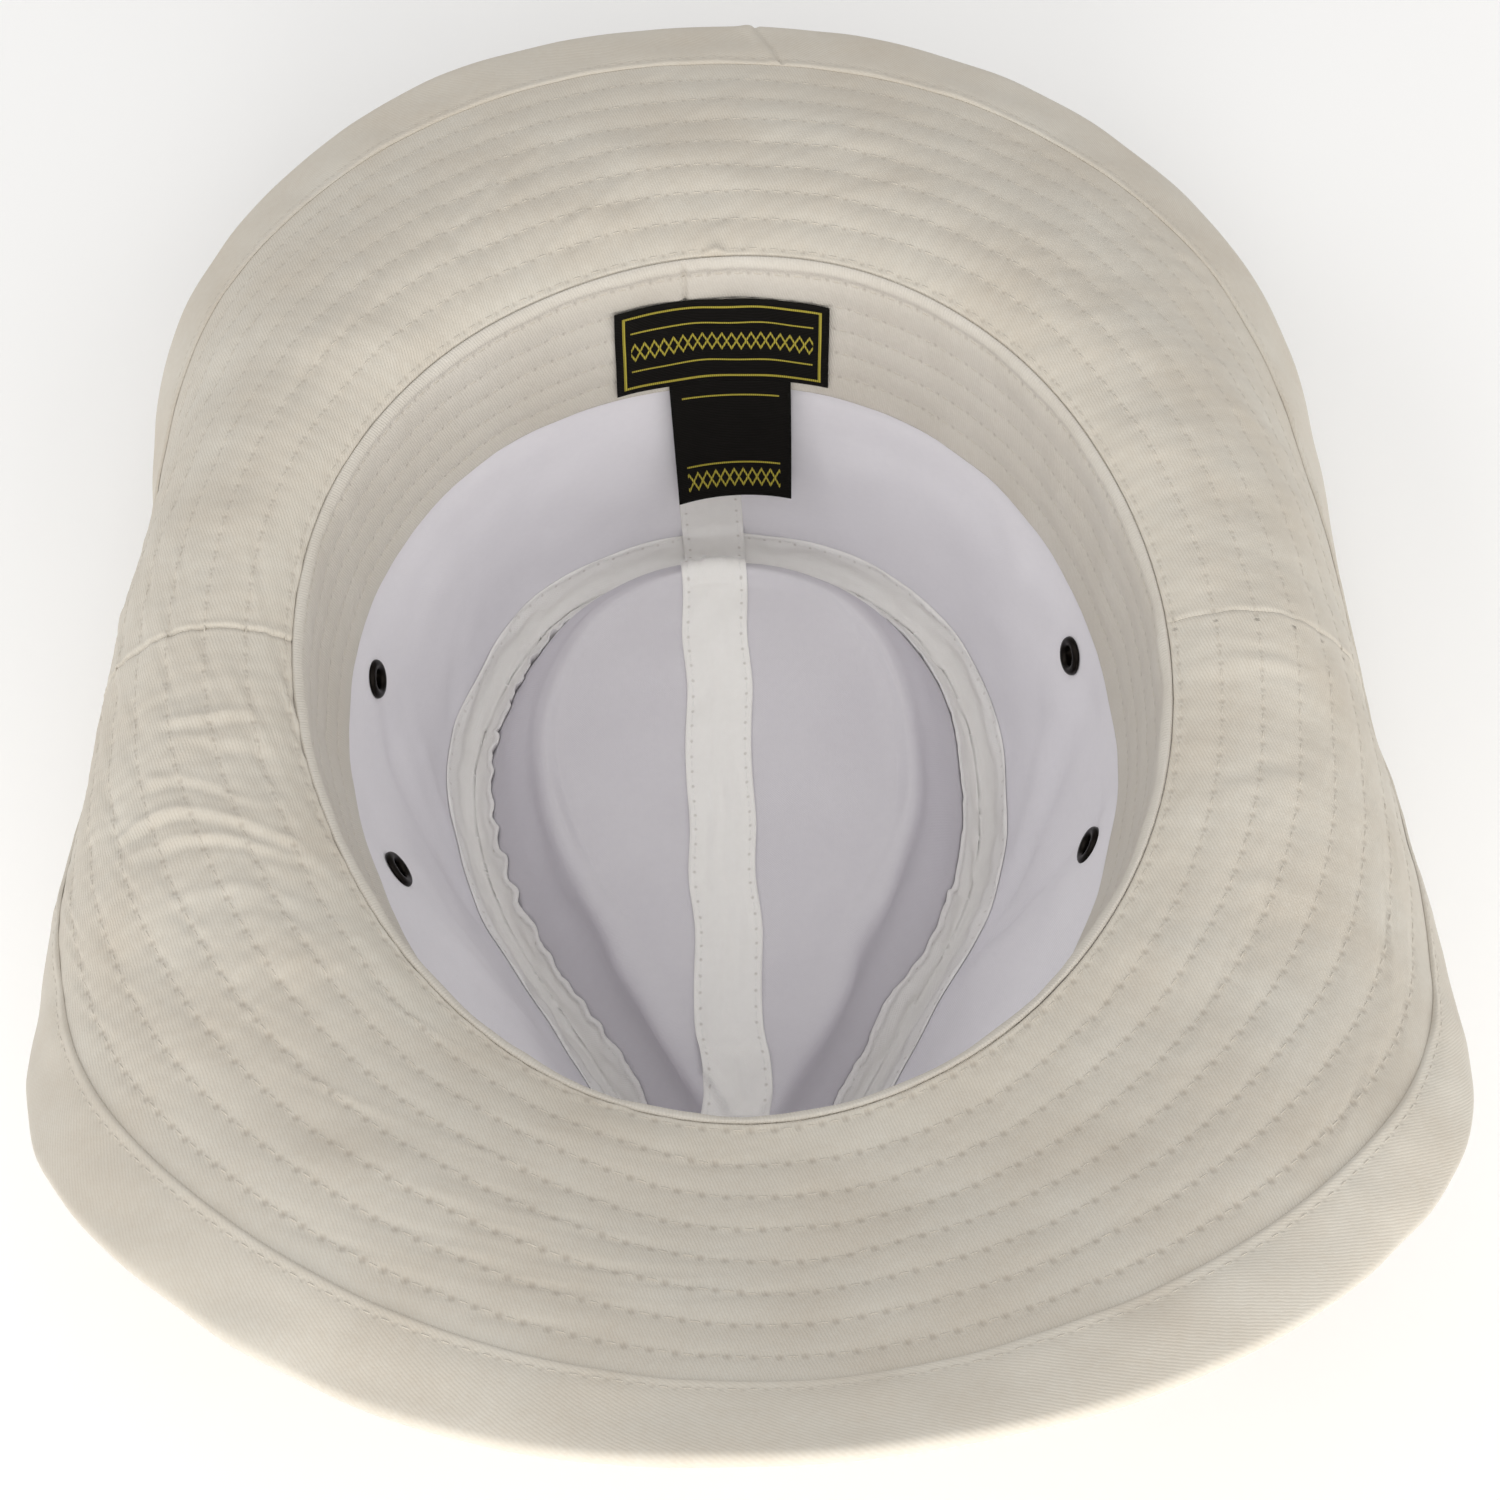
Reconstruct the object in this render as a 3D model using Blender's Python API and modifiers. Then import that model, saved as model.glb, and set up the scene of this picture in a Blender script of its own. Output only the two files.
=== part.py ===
"""A washed cotton twill fedora, laid upside down on its pinched teardrop crown.

Metres, +Z up, the front of the hat towards -Y. Each piece is worked out in the hat's own frame, with
the head opening at z = 0 and the crown hanging below it. laid() then turns the hat until the ridge
round its tip lies level on the ground.
"""

from math import atan2, cos, pi, sin

import bmesh
import bpy
import numpy as np
from mathutils import Vector

# Head opening and crown
HEAD_HALF_WIDTH = 0.0817
HEAD_HALF_LENGTH = 0.0998
CROWN_FRONT_HEIGHT = 0.115
CROWN_BACK_HEIGHT = 0.087
TIP_HALF_WIDTH = 0.0505
TIP_FRONT_REACH = 0.073
TIP_BACK_REACH = 0.0865
RIDGE_RADIUS = 0.0045
DENT_DEPTH = 0.023
DENT_SLOPE_RUN = 0.0155
SPINE_SHARE = 0.62
WALL_BELLY = 1.7
PINCH_DEPTH = 0.006
PINCH_MIDDLE = 0.62
PINCH_SPREAD = 0.24

# Brim
BRIM_WIDTH = 0.076
BINDING_WIDTH = 0.016
SEAM_RIGHT = 1.0
SEAM_LEFT = 177.0

# Cloth and tape thicknesses
CROWN_CLOTH = 0.0015
BRIM_CLOTH = 0.0018
BINDING_CLOTH = 0.0010
BAND_CLOTH = 0.0012
TAPE_CLOTH = 0.0010
LABEL_CLOTH = 0.0010

# Sweatband, tapes and labels
BAND_HEIGHT = 0.036
TAPE_WIDTH = 0.0138
TAPE_UP_SIDE = 0.28
TAPE_ON_TIP = 0.34
TIP_TAPE_SHIFT = -0.0026
LABEL_WIDTH = 0.045
LABEL_TOP = 0.011
LABEL_HEIGHT = 0.023
LABEL_SHIFT = 0.002
CARE_WIDTH = 0.0265
CARE_HEIGHT = 0.032
CARE_SHIFT = 0.0032
CARE_STAND_OFF = 0.003

# Eyelets
EYELET_RADIUS = 0.0040
EYELET_BORE = 0.0040
EYELET_BARREL_WALL = 0.0005
EYELET_FLANGE = 0.0006
EYELET_CROWNING = 0.45
EYELET_DEPTH = 0.049
EYELET_BACK_AZIMUTH = 18.5
EYELET_FRONT_AZIMUTH = -10.5
EYELET_PROBE = 2.0

# Fit
CLEARANCE = 0.00035
SLACK = 1.5
BINDING_GAP = 0.0009
EYELET_GAP = 0.0005
BRIM_LAP = 0.0006
PRESS = 0.0005

# Fineness
STATIONS = 56
BRIM_STEPS = 76
BRIM_ROWS = (0.0, 0.14, 0.29, 0.45, 0.62, 0.80)
EYELET_SIDES = 12

# A row for each section round the hat: azimuth in degrees from the wearer's right, counter-clockwise
# from above; reach of the head opening and of the tip as shares of their half sizes; depth of the pinch
# in the side as a share of PINCH_DEPTH; slope of the brim above the level in degrees at its root, middle
# and edge.
COLUMNS = ("azimuth", "opening", "tip", "pinch", "root", "middle", "edge")
SECTIONS = (
    (0.0, 0.995, 0.99, 0.0, 30, -54, -87),
    (22.5, 0.994, 1.15, 0.0, 29, -46, -70),
    (45.0, 1.006, 1.29, 0.0, 21, -25, -31),
    (67.5, 1.008, 1.39, 0.0, 13, -13, -15),
    (90.0, 0.991, 1.45, 0.0, 12, -9, -14),
    (112.5, 0.985, 1.40, 0.0, 16, -11, -15),
    (135.0, 1.006, 1.27, 0.0, 31, -27, -43),
    (157.5, 1.020, 1.17, 0.0, 40, -56, -90),
    (180.0, 1.006, 0.97, 0.4, 41, -56, -98),
    (202.5, 0.983, 0.69, 1.0, 41, -29, -77),
    (225.0, 0.986, 0.49, 1.0, 32, 2, -25),
    (247.5, 1.004, 0.41, 0.3, 26, 16, -14),
    (270.0, 1.009, 0.38, 0.0, 8, 22, 17),
    (292.5, 1.003, 0.40, 0.3, 2, 20, -8),
    (315.0, 1.001, 0.49, 1.0, 6, 3, -45),
    (337.5, 1.001, 0.70, 0.4, 19, -34, -77),
)
TABLE = dict(zip(COLUMNS, np.array(SECTIONS).T))

COLOURS = {
    "putty_twill": (0.62, 0.57, 0.48, 0.92, 0.0),
    "lining_white": (0.78, 0.77, 0.80, 0.90, 0.0),
    "white_tape": (0.80, 0.79, 0.78, 0.92, 0.0),
    "label_black": (0.02, 0.02, 0.02, 0.80, 0.0),
    "gunmetal": (0.06, 0.06, 0.06, 0.35, 1.0),
}


def along(name, azimuth):
    """A column of the table at each azimuth, on a Catmull-Rom curve through its rows."""
    rows = TABLE[name]
    count = len(rows)
    place = np.asarray(azimuth, float) % 360.0 / 360.0 * count
    i = np.floor(place).astype(int)
    t = place - i
    a, b, c, d = (rows[(i + step) % count] for step in (-1, 0, 1, 2))
    return b + 0.5 * t * (c - a + t * (2 * a - 5 * b + 4 * c - d + t * (3 * (b - c) + d - a)))


def turn(azimuth):
    angle = np.radians(azimuth)
    return np.cos(angle), np.sin(angle)


def head_line(azimuth, out=0.0):
    """Plan of the head opening: an oval, drawn in or out by its table share, and moved out by a distance."""
    c, s = turn(azimuth)
    share = along("opening", azimuth)
    line = np.stack([HEAD_HALF_WIDTH * c, HEAD_HALF_LENGTH * s], -1) * share[..., None]
    return line + head_normal(azimuth) * out


def head_normal(azimuth):
    """Level direction straight out of the oval."""
    c, s = turn(azimuth)
    normal = np.stack([c / HEAD_HALF_WIDTH, s / HEAD_HALF_LENGTH], -1)
    return normal / np.linalg.norm(normal, axis=-1, keepdims=True)


def crest_line(azimuth):
    """Plan of the ridge round the tip: a teardrop that narrows towards the front."""
    c, s = turn(azimuth)
    half_length = (TIP_FRONT_REACH + TIP_BACK_REACH) / 2
    middle = (TIP_BACK_REACH - TIP_FRONT_REACH) / 2
    return np.stack([TIP_HALF_WIDTH * along("tip", azimuth) * c, middle + half_length * s], -1)


def spine_line(azimuth):
    """The line along the middle of the tip that its straight sections run to."""
    _, s = turn(azimuth)
    half_length = (TIP_FRONT_REACH + TIP_BACK_REACH) / 2
    middle = (TIP_BACK_REACH - TIP_FRONT_REACH) / 2
    return np.stack([0 * s, middle + half_length * s * SPINE_SHARE], -1)


def crest_fall():
    """How much the crown deepens for each metre towards the front."""
    return (CROWN_FRONT_HEIGHT - CROWN_BACK_HEIGHT) / (TIP_FRONT_REACH + TIP_BACK_REACH)


def crest_depth(y):
    """Depth of the ridge below the head opening."""
    return CROWN_BACK_HEIGHT + crest_fall() * (TIP_BACK_REACH - y)


CREST_DENSE = crest_line(np.arange(0.0, 360.0, 1.0))


def tip_height(plan):
    """Height of the tip over its plan: the ridge's depth, and a rise of half a cosine wave to the dent's floor."""
    gap = plan[..., None, :] - CREST_DENSE
    distance = np.sqrt((gap**2).sum(-1)).min(-1)
    rise = DENT_DEPTH * (1 - np.cos(pi * np.clip(distance / DENT_SLOPE_RUN, 0, 1))) / 2
    return rise - crest_depth(plan[..., 1])


def raised(plan, height):
    return np.concatenate([plan, height[..., None]], -1)


def wall_foot(azimuth):
    """Where the side meets the rounded ridge, and the level direction out of the ridge there."""
    crest = crest_line(azimuth)
    out = head_line(azimuth) - crest
    out /= np.linalg.norm(out, axis=-1, keepdims=True)
    return crest + out * RIDGE_RADIUS, crest_depth(crest[..., 1]) - RIDGE_RADIUS, out


def wall_top():
    """Depth of the side's upper edge, just below the brim."""
    return BRIM_CLOTH / 2 + CLEARANCE + BRIM_LAP / 2


def wall(azimuth, depth):
    """Side of the crown at depths below the opening: it leans in more and more, and is pinched at the front."""
    foot, foot_depth, out = wall_foot(azimuth)
    share = np.clip((depth - wall_top()) / (foot_depth - wall_top()), 0, 1)
    lean = share**WALL_BELLY
    plan = head_line(azimuth, CROWN_CLOTH / 2 - BRIM_LAP) * (1 - lean)[..., None] + foot * lean[..., None]
    pinch = PINCH_DEPTH * along("pinch", azimuth) * np.exp(-(((share - PINCH_MIDDLE) / PINCH_SPREAD) ** 2))
    return raised(plan - out * pinch[..., None], -depth * np.ones_like(share))


def ridge(azimuth, angle):
    """The rounded ridge, an arc from the foot of the side at 0 degrees to the crest at 90."""
    foot, foot_depth, out = wall_foot(azimuth)
    back = RIDGE_RADIUS * (1 - cos(np.radians(angle)))
    return raised(foot - out * back, -foot_depth - RIDGE_RADIUS * sin(np.radians(angle)))


def tip(azimuth, distance):
    """The tip at a distance in from the crest, on straight lines to its spine."""
    crest, spine = crest_line(azimuth), spine_line(azimuth)
    length = np.linalg.norm(spine - crest, axis=-1)
    share = np.minimum(distance / length, 1.0)
    plan = crest + (spine - crest) * share[..., None]
    return raised(plan, tip_height(plan))


def to_spine(azimuth, share):
    """The tip at a share of the way from the foot of the dent's slope to the spine."""
    length = np.linalg.norm(spine_line(azimuth) - crest_line(azimuth), axis=-1)
    return tip(azimuth, DENT_SLOPE_RUN + (length - DENT_SLOPE_RUN) * share)


def normals(grid, closed=False):
    """Unit normals of a grid, along the azimuth step crossed with the row step."""
    if closed:
        across = np.roll(grid, -1, axis=0) - np.roll(grid, 1, axis=0)
    else:
        across = np.gradient(grid, axis=0)
    normal = np.cross(across, np.gradient(grid, axis=1))
    return normal / np.linalg.norm(normal, axis=-1, keepdims=True)


def lifted(grid, distance, closed=False):
    """A grid moved along its own normals, into the crown."""
    return grid + normals(grid, closed) * distance


def tilt():
    return atan2(crest_fall(), 1.0)


def turned(points):
    """Turns the hat about X until its ridge is level, and lifts it to rest on the ground."""
    x, y, z = np.moveaxis(np.asarray(points, float), -1, 0)
    c, s = cos(tilt()), sin(tilt())
    lift = crest_depth(0.0) * c + CROWN_CLOTH / 2 - PRESS
    return np.stack([x, y * c + z * s, z * c - y * s + lift], -1)


def laid(points):
    """The turned hat, moved level until the middle of its brim is over the origin."""
    edge = turned(brim_grid(RING, np.array([BRIM_WIDTH]))).reshape(-1, 3)
    middle = (edge.max(0) + edge.min(0)) / 2
    return turned(points) - middle * (1, 1, 0)


def fabric(name):
    red, green, blue, roughness, metallic = COLOURS[name]
    material = bpy.data.materials.get(name) or bpy.data.materials.new(name)
    material.use_nodes = True
    shader = material.node_tree.nodes["Principled BSDF"]
    shader.inputs["Base Color"].default_value = (red, green, blue, 1.0)
    shader.inputs["Roughness"].default_value = roughness
    shader.inputs["Metallic"].default_value = metallic
    material.diffuse_color = (red, green, blue, 1.0)
    return material


def group(name):
    collection = bpy.data.collections.new(name)
    bpy.context.scene.collection.children.link(collection)
    return collection


def sheet(name, grid, thickness, material, closed=False):
    """A piece of cloth: the grid as an open surface, laid with the hat and given its thickness."""
    count, rows = grid.shape[:2]
    turns = count if closed else count - 1
    i, j = np.meshgrid(np.arange(turns), np.arange(rows - 1), indexing="ij")
    corner = i * rows + j
    beside = (i + 1) % count * rows + j
    faces = np.stack([corner, beside, beside + 1, corner + 1], -1).reshape(-1, 4)
    mesh = bpy.data.meshes.new(name)
    mesh.from_pydata(laid(grid).reshape(-1, 3).tolist(), [], faces.tolist())
    mesh.shade_smooth()
    mesh.materials.append(fabric(material))
    obj = bpy.data.objects.new(name, mesh)
    PARTS.objects.link(obj)
    wall_thickness = obj.modifiers.new("Thickness", "SOLIDIFY")
    wall_thickness.thickness = thickness
    wall_thickness.offset = 0.0
    return obj


def press_flat(obj, side):
    """Trims a half of the crown at the middle seam, and flattens it where it rests on the ground."""
    bpy.context.view_layer.update()
    evaluated = obj.evaluated_get(bpy.context.evaluated_depsgraph_get())
    mesh = bpy.data.meshes.new_from_object(evaluated)
    obj.modifiers.clear()
    obj.data = mesh
    work = bmesh.new()
    work.from_mesh(mesh)
    bmesh.ops.triangulate(work, faces=work.faces)
    work.to_mesh(mesh)
    work.free()
    places = np.empty(len(mesh.vertices) * 3)
    mesh.vertices.foreach_get("co", places)
    places = places.reshape(-1, 3)
    places[:, 0] = side * np.maximum(side * places[:, 0], CLEARANCE / 2)
    places[:, 2] = np.maximum(places[:, 2], 0.0)
    mesh.vertices.foreach_set("co", places.ravel())
    mesh.update()


def stations(start, end):
    """Even azimuths from start to end, at the hat's own spacing."""
    return np.linspace(start, end, round((end - start) / 360 * STATIONS) + 1)


RING = stations(0, 360)[:-1]
BRIM_STATIONS = np.concatenate([stations(SEAM_RIGHT, SEAM_LEFT)[:-1], stations(SEAM_LEFT, SEAM_RIGHT + 360)])


def brim_grid(azimuth, distances):
    """The brim at distances from its root, walked out along a slope that bends from root to middle to edge."""
    share = (np.arange(BRIM_STEPS) + 0.5) / BRIM_STEPS
    root, middle, edge = (np.radians(along(name, azimuth))[:, None] for name in ("root", "middle", "edge"))
    slope = root * (1 - share) * (1 - 2 * share) + middle * 4 * share * (1 - share) + edge * share * (2 * share - 1)
    step = BRIM_WIDTH / BRIM_STEPS
    start = np.zeros((len(azimuth), 1))
    out = np.concatenate([start, np.cumsum(np.cos(slope), 1) * step], 1)
    up = np.concatenate([start, np.cumsum(np.sin(slope), 1) * step], 1)
    knots = np.linspace(0, BRIM_WIDTH, BRIM_STEPS + 1)
    out = np.stack([np.interp(distances, knots, row) for row in out])
    up = np.stack([np.interp(distances, knots, row) for row in up])
    plan = head_line(azimuth)[:, None] + head_normal(azimuth)[:, None] * out[..., None]
    return raised(plan, up)


def bound_rows():
    """Distances from the root that the brim and its binding share: the binding's edge, middle and fold."""
    edge = BRIM_WIDTH - BINDING_CLOTH - BINDING_GAP
    return np.array([BRIM_WIDTH - BINDING_WIDTH, BRIM_WIDTH - BINDING_WIDTH / 2, edge])


def make_brim():
    rows = np.concatenate([(BRIM_WIDTH - BINDING_WIDTH) * np.array(BRIM_ROWS), bound_rows()])
    seam = np.degrees(CLEARANCE / 2 / HEAD_HALF_WIDTH)
    for name, start, end in (
        ("brim_back", SEAM_RIGHT, SEAM_LEFT),
        ("brim_front", SEAM_LEFT, SEAM_RIGHT + 360),
    ):
        azimuth = stations(start, end)
        azimuth[0] += seam
        azimuth[-1] -= seam
        sheet(name, brim_grid(azimuth, rows), BRIM_CLOTH, "putty_twill")


def make_binding():
    """A tape folded round the edge: in along the top, round the edge, and back underneath."""
    lift = BRIM_CLOTH / 2 + BINDING_GAP + BINDING_CLOTH / 2
    distances = np.append(bound_rows(), BRIM_WIDTH - BINDING_CLOTH / 2)
    middle = brim_grid(BRIM_STATIONS[:-1], distances)
    height = np.array([lift, lift, lift, BRIM_CLOTH / 2])[:, None]
    rise = normals(middle, closed=True) * height
    grid = np.concatenate([middle - rise, (middle + rise)[:, ::-1]], 1)
    sheet("brim_binding", grid, BINDING_CLOTH, "putty_twill", closed=True)


def band_rows(azimuth):
    """Depths shared by the side panels and the sweatband that lies on them."""
    top = np.full_like(azimuth, wall_top())
    return [top + (BAND_HEIGHT - top) * share for share in (0.0, 1 / 3, 2 / 3, 1.0)]


def side_grid(azimuth):
    foot_depth = wall_foot(azimuth)[1]
    lower = [BAND_HEIGHT + (foot_depth - BAND_HEIGHT) * share for share in (0.33, 0.67, 1.0)]
    rows = [wall(azimuth, depth) for depth in band_rows(azimuth) + lower]
    rows += [ridge(azimuth, angle) for angle in (36, 66, 86)]
    return np.stack(rows, 1)


def tip_grid(azimuth):
    rows = [tip(azimuth, CLEARANCE)]
    rows += [tip(azimuth, DENT_SLOPE_RUN * share) for share in (0.09, 0.2, 0.34, 0.62)]
    rows += [to_spine(azimuth, share) for share in (0.0, 0.5, 1.0)]
    return np.stack(rows, 1)


def make_crown():
    for name, side, start in (("right", 1, -90), ("left", -1, 90)):
        azimuth = stations(start, start + 180)
        for piece, grid in (("side", side_grid(azimuth)), ("tip", tip_grid(azimuth))):
            obj = sheet(f"crown_{piece}_{name}", grid, CROWN_CLOTH, "lining_white")
            press_flat(obj, side)


def make_sweatband():
    rows = [wall(RING, depth) for depth in band_rows(RING)]
    on_wall = CROWN_CLOTH / 2 + CLEARANCE + BAND_CLOTH / 2
    grid = lifted(np.stack(rows, 1), on_wall, closed=True)
    grid[:, 0, 2] = BRIM_CLOTH / 2
    sheet("sweatband", grid, BAND_CLOTH, "putty_twill", closed=True)


def tape_lift():
    return CROWN_CLOTH / 2 + CLEARANCE * SLACK + TAPE_CLOTH / 2


def make_ring_tape():
    """A tape over the seam at the ridge. The rows before its first and after its last only give their normals."""
    foot_depth = wall_foot(RING)[1]
    rows = [wall(RING, foot_depth - TAPE_WIDTH * share) for share in (TAPE_UP_SIDE * 2, TAPE_UP_SIDE)]
    rows += [ridge(RING, angle) for angle in (0, 45, 82)]
    rows += [tip(RING, TAPE_WIDTH * share) for share in (TAPE_ON_TIP / 2, TAPE_ON_TIP, TAPE_ON_TIP * 1.5)]
    grid = lifted(np.stack(rows, 1), tape_lift(), closed=True)[:, 1:-1]
    sheet("tape_ring", grid, TAPE_CLOTH, "white_tape", closed=True)


def strip(centre, across, depths, lift):
    """A strip down the side at centre back or centre front: columns at even distances across, rows at depths."""
    columns = []
    for offset in across:
        column = []
        for depth in depths:
            azimuth = np.array([centre])
            for _ in range(4):
                x = wall(azimuth, np.array([depth]))[0, 0]
                azimuth = azimuth - np.degrees((offset - x) / HEAD_HALF_WIDTH) * np.sign(np.sin(np.radians(centre)))
            column.append(wall(azimuth, np.array([depth]))[0])
        columns.append(column)
    grid = np.array(columns)
    if centre > 180:
        return lifted(grid, lift)
    return lifted(grid[::-1], lift)


def make_centre_tapes():
    across = np.array([-0.5, 0.0, 0.5]) * TAPE_WIDTH
    for name, centre in (("tape_side_back", 90.0), ("tape_side_front", 270.0)):
        foot_depth = wall_foot(np.array([centre]))[1][0]
        end = foot_depth - TAPE_WIDTH * TAPE_UP_SIDE - CLEARANCE
        depths = np.linspace(BAND_HEIGHT + BAND_CLOTH / 2, end, 5)
        sheet(name, strip(centre, across, depths, tape_lift()), TAPE_CLOTH, "white_tape")
    start = TAPE_WIDTH * TAPE_ON_TIP / DENT_SLOPE_RUN
    back = TIP_BACK_REACH - DENT_SLOPE_RUN * np.array([start, 0.6, 0.8, 1.0])
    front = -TIP_FRONT_REACH + DENT_SLOPE_RUN * np.array([2.0, 1.7, 1.4])
    y = np.concatenate([back, np.linspace(back[-1], front[0], 5)[1:-1], front])
    x = TIP_TAPE_SHIFT + np.array([-0.5, -0.25, 0.0, 0.25, 0.5]) * TAPE_WIDTH
    plan = np.stack(np.meshgrid(x, y, indexing="ij"), -1)
    grid = raised(plan, np.broadcast_to(tip_height(plan).max(0), plan.shape[:2]))
    grid[..., 2] += (tape_lift() + CLEARANCE) / abs(normals(grid)[..., 2])
    sheet("tape_tip_center", grid, TAPE_CLOTH, "white_tape")


def make_labels():
    on_band = CROWN_CLOTH / 2 + CLEARANCE + BAND_CLOTH + CLEARANCE + LABEL_CLOTH / 2
    across = LABEL_SHIFT + np.linspace(-0.5, 0.5, 7) * LABEL_WIDTH
    depths = LABEL_TOP + np.array([0.0, 0.5, 1.0]) * LABEL_HEIGHT
    sheet("label_main", strip(90.0, across, depths, on_band), LABEL_CLOTH, "label_black")
    across = CARE_SHIFT + np.linspace(-0.5, 0.5, 5) * CARE_WIDTH
    start = LABEL_TOP + LABEL_HEIGHT + LABEL_CLOTH / 2 + CLEARANCE
    share = np.linspace(0, 1, 5)
    grid = strip(90.0, across, start + CARE_HEIGHT * share, on_band)
    grid += normals(grid) * (CARE_STAND_OFF * share)[None, :, None]
    sheet("label_care", grid, LABEL_CLOTH, "label_black")


def placed(obj, place, axis):
    obj.location = place
    obj.rotation_euler = Vector(axis).to_track_quat("Z", "Y").to_euler()


def eyelet_profile():
    """Half of the eyelet's section, from the inner rim down its outer side and up the bore."""
    bore = EYELET_BORE / 2
    barrel = bore + EYELET_BARREL_WALL
    seat = CROWN_CLOTH / 2 + EYELET_GAP
    face = seat + EYELET_FLANGE
    rim = EYELET_RADIUS
    return [
        (bore, face),
        (bore + (rim - bore) * EYELET_CROWNING, face + EYELET_FLANGE / 3),
        (rim, seat + EYELET_FLANGE / 3),
        (rim, seat),
        (barrel, seat),
        (barrel, -seat),
        (rim, -seat),
        (rim, -face),
        (bore, -face),
    ]


def make_eyelet(name, azimuth):
    """A turned ring through the side, and the hole that it passes through."""
    around = azimuth + EYELET_PROBE * np.array([-1, 0, 1])
    depths = EYELET_DEPTH + EYELET_RADIUS * np.array([-0.5, 0, 0.5])
    grid = np.stack([wall(around, np.full(3, depth)) for depth in depths], 1)
    place = laid(grid[1, 1])
    axis = laid(grid[1, 1] + normals(grid)[1, 1]) - place
    profile = eyelet_profile()
    mesh = bpy.data.meshes.new(name)
    corners = [(radius, 0.0, height) for radius, height in profile]
    mesh.from_pydata(corners, [(i, (i + 1) % len(corners)) for i in range(len(corners))], [])
    mesh.materials.append(fabric("gunmetal"))
    obj = bpy.data.objects.new(name, mesh)
    PARTS.objects.link(obj)
    spun = obj.modifiers.new("Turned", "SCREW")
    spun.steps = EYELET_SIDES
    spun.render_steps = EYELET_SIDES
    spun.use_merge_vertices = True
    spun.merge_threshold = 0.00001
    spun.use_smooth_shade = True
    placed(obj, place, axis)
    bpy.ops.mesh.primitive_cylinder_add(
        vertices=EYELET_SIDES,
        radius=EYELET_BORE / 2 + EYELET_BARREL_WALL + CLEARANCE,
        depth=CROWN_CLOTH * 8,
    )
    cutter = bpy.context.object
    cutter.name = name + "_hole"
    for owner in list(cutter.users_collection):
        owner.objects.unlink(cutter)
    CUTTERS.objects.link(cutter)
    cutter.hide_render = True
    cutter.display_type = "WIRE"
    placed(cutter, place, axis)
    side = bpy.data.objects["crown_side_left" if 90 < azimuth < 270 else "crown_side_right"]
    hole = side.modifiers.new("Hole", "BOOLEAN")
    hole.operation = "DIFFERENCE"
    hole.object = cutter


def make_eyelets():
    for end, azimuth in (("back", EYELET_BACK_AZIMUTH), ("front", EYELET_FRONT_AZIMUTH)):
        make_eyelet(f"eyelet_right_{end}", azimuth)
        make_eyelet(f"eyelet_left_{end}", 180 - azimuth)


for leftover in list(bpy.data.objects):
    bpy.data.objects.remove(leftover, do_unlink=True)
PARTS = group("Fedora")
CUTTERS = group("Cutters")
make_crown()
make_brim()
make_binding()
make_sweatband()
make_ring_tape()
make_centre_tapes()
make_labels()
make_eyelets()
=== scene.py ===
"""A washed cotton twill fedora lying upside down on its pinched teardrop crown, dressed round its frame.

Metres, +Z up, the front of the hat towards -Y. Every surface is worked out in the hat's own frame, where
the head opening is at z = 0 and the crown hangs below it, and laid() turns it onto the ground. Azimuths are
degrees from the wearer's right, counter-clockwise from above. A grid's first index runs round the hat and
its second across the cloth, and normals() points into the crown from its walls, and down from the brim.
"""

from math import atan2, cos, pi, radians, sin

import bpy
import numpy as np
from mathutils import Matrix, Vector


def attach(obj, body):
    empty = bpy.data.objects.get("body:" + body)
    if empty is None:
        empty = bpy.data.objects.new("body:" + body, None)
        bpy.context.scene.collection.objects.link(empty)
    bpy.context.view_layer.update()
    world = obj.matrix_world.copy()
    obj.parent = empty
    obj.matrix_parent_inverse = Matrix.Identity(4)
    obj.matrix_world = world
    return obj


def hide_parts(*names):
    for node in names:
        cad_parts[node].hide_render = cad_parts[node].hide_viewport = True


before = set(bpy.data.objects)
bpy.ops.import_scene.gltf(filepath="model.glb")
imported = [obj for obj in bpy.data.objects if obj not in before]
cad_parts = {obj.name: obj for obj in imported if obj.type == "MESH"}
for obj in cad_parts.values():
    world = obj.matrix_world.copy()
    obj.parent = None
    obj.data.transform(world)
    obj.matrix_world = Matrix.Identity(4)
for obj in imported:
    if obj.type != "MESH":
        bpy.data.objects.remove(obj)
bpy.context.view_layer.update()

# Head opening and crown
HEAD_HALF_WIDTH = 0.0817
HEAD_HALF_LENGTH = 0.0998
CROWN_FRONT_HEIGHT = 0.115
CROWN_BACK_HEIGHT = 0.087
TIP_HALF_WIDTH = 0.0505
TIP_FRONT_REACH = 0.073
TIP_BACK_REACH = 0.0865
RIDGE_RADIUS = 0.0045
DENT_DEPTH = 0.023
DENT_SLOPE_RUN = 0.0155
SPINE_SHARE = 0.62
WALL_BELLY = 1.7
PINCH_DEPTH = 0.006
PINCH_MIDDLE = 0.62
PINCH_SPREAD = 0.24

# Brim
BRIM_WIDTH = 0.076
BINDING_WIDTH = 0.016
BRIM_INNER = BRIM_WIDTH - BINDING_WIDTH
SEAM_RIGHT = 1.0
SEAM_LEFT = 177.0
BRIM_STEPS = 76

# Cloth
CROWN_CLOTH = 0.0015
BRIM_CLOTH = 0.0018
BINDING_CLOTH = 0.0006
BAND_CLOTH = 0.0012
TAPE_CLOTH = 0.0007
LABEL_CLOTH = 0.0008
CARE_CLOTH = 0.0006
TOUCH = 0.00005
CLEARANCE = 0.00035
BRIM_LAP = 0.0006
PRESS = 0.0005
SKIN = 0.0001
HEM_RADIUS = 0.0008
FOLD_RADIUS = 0.0007
SELVEDGE_RADIUS = 0.0005

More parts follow.
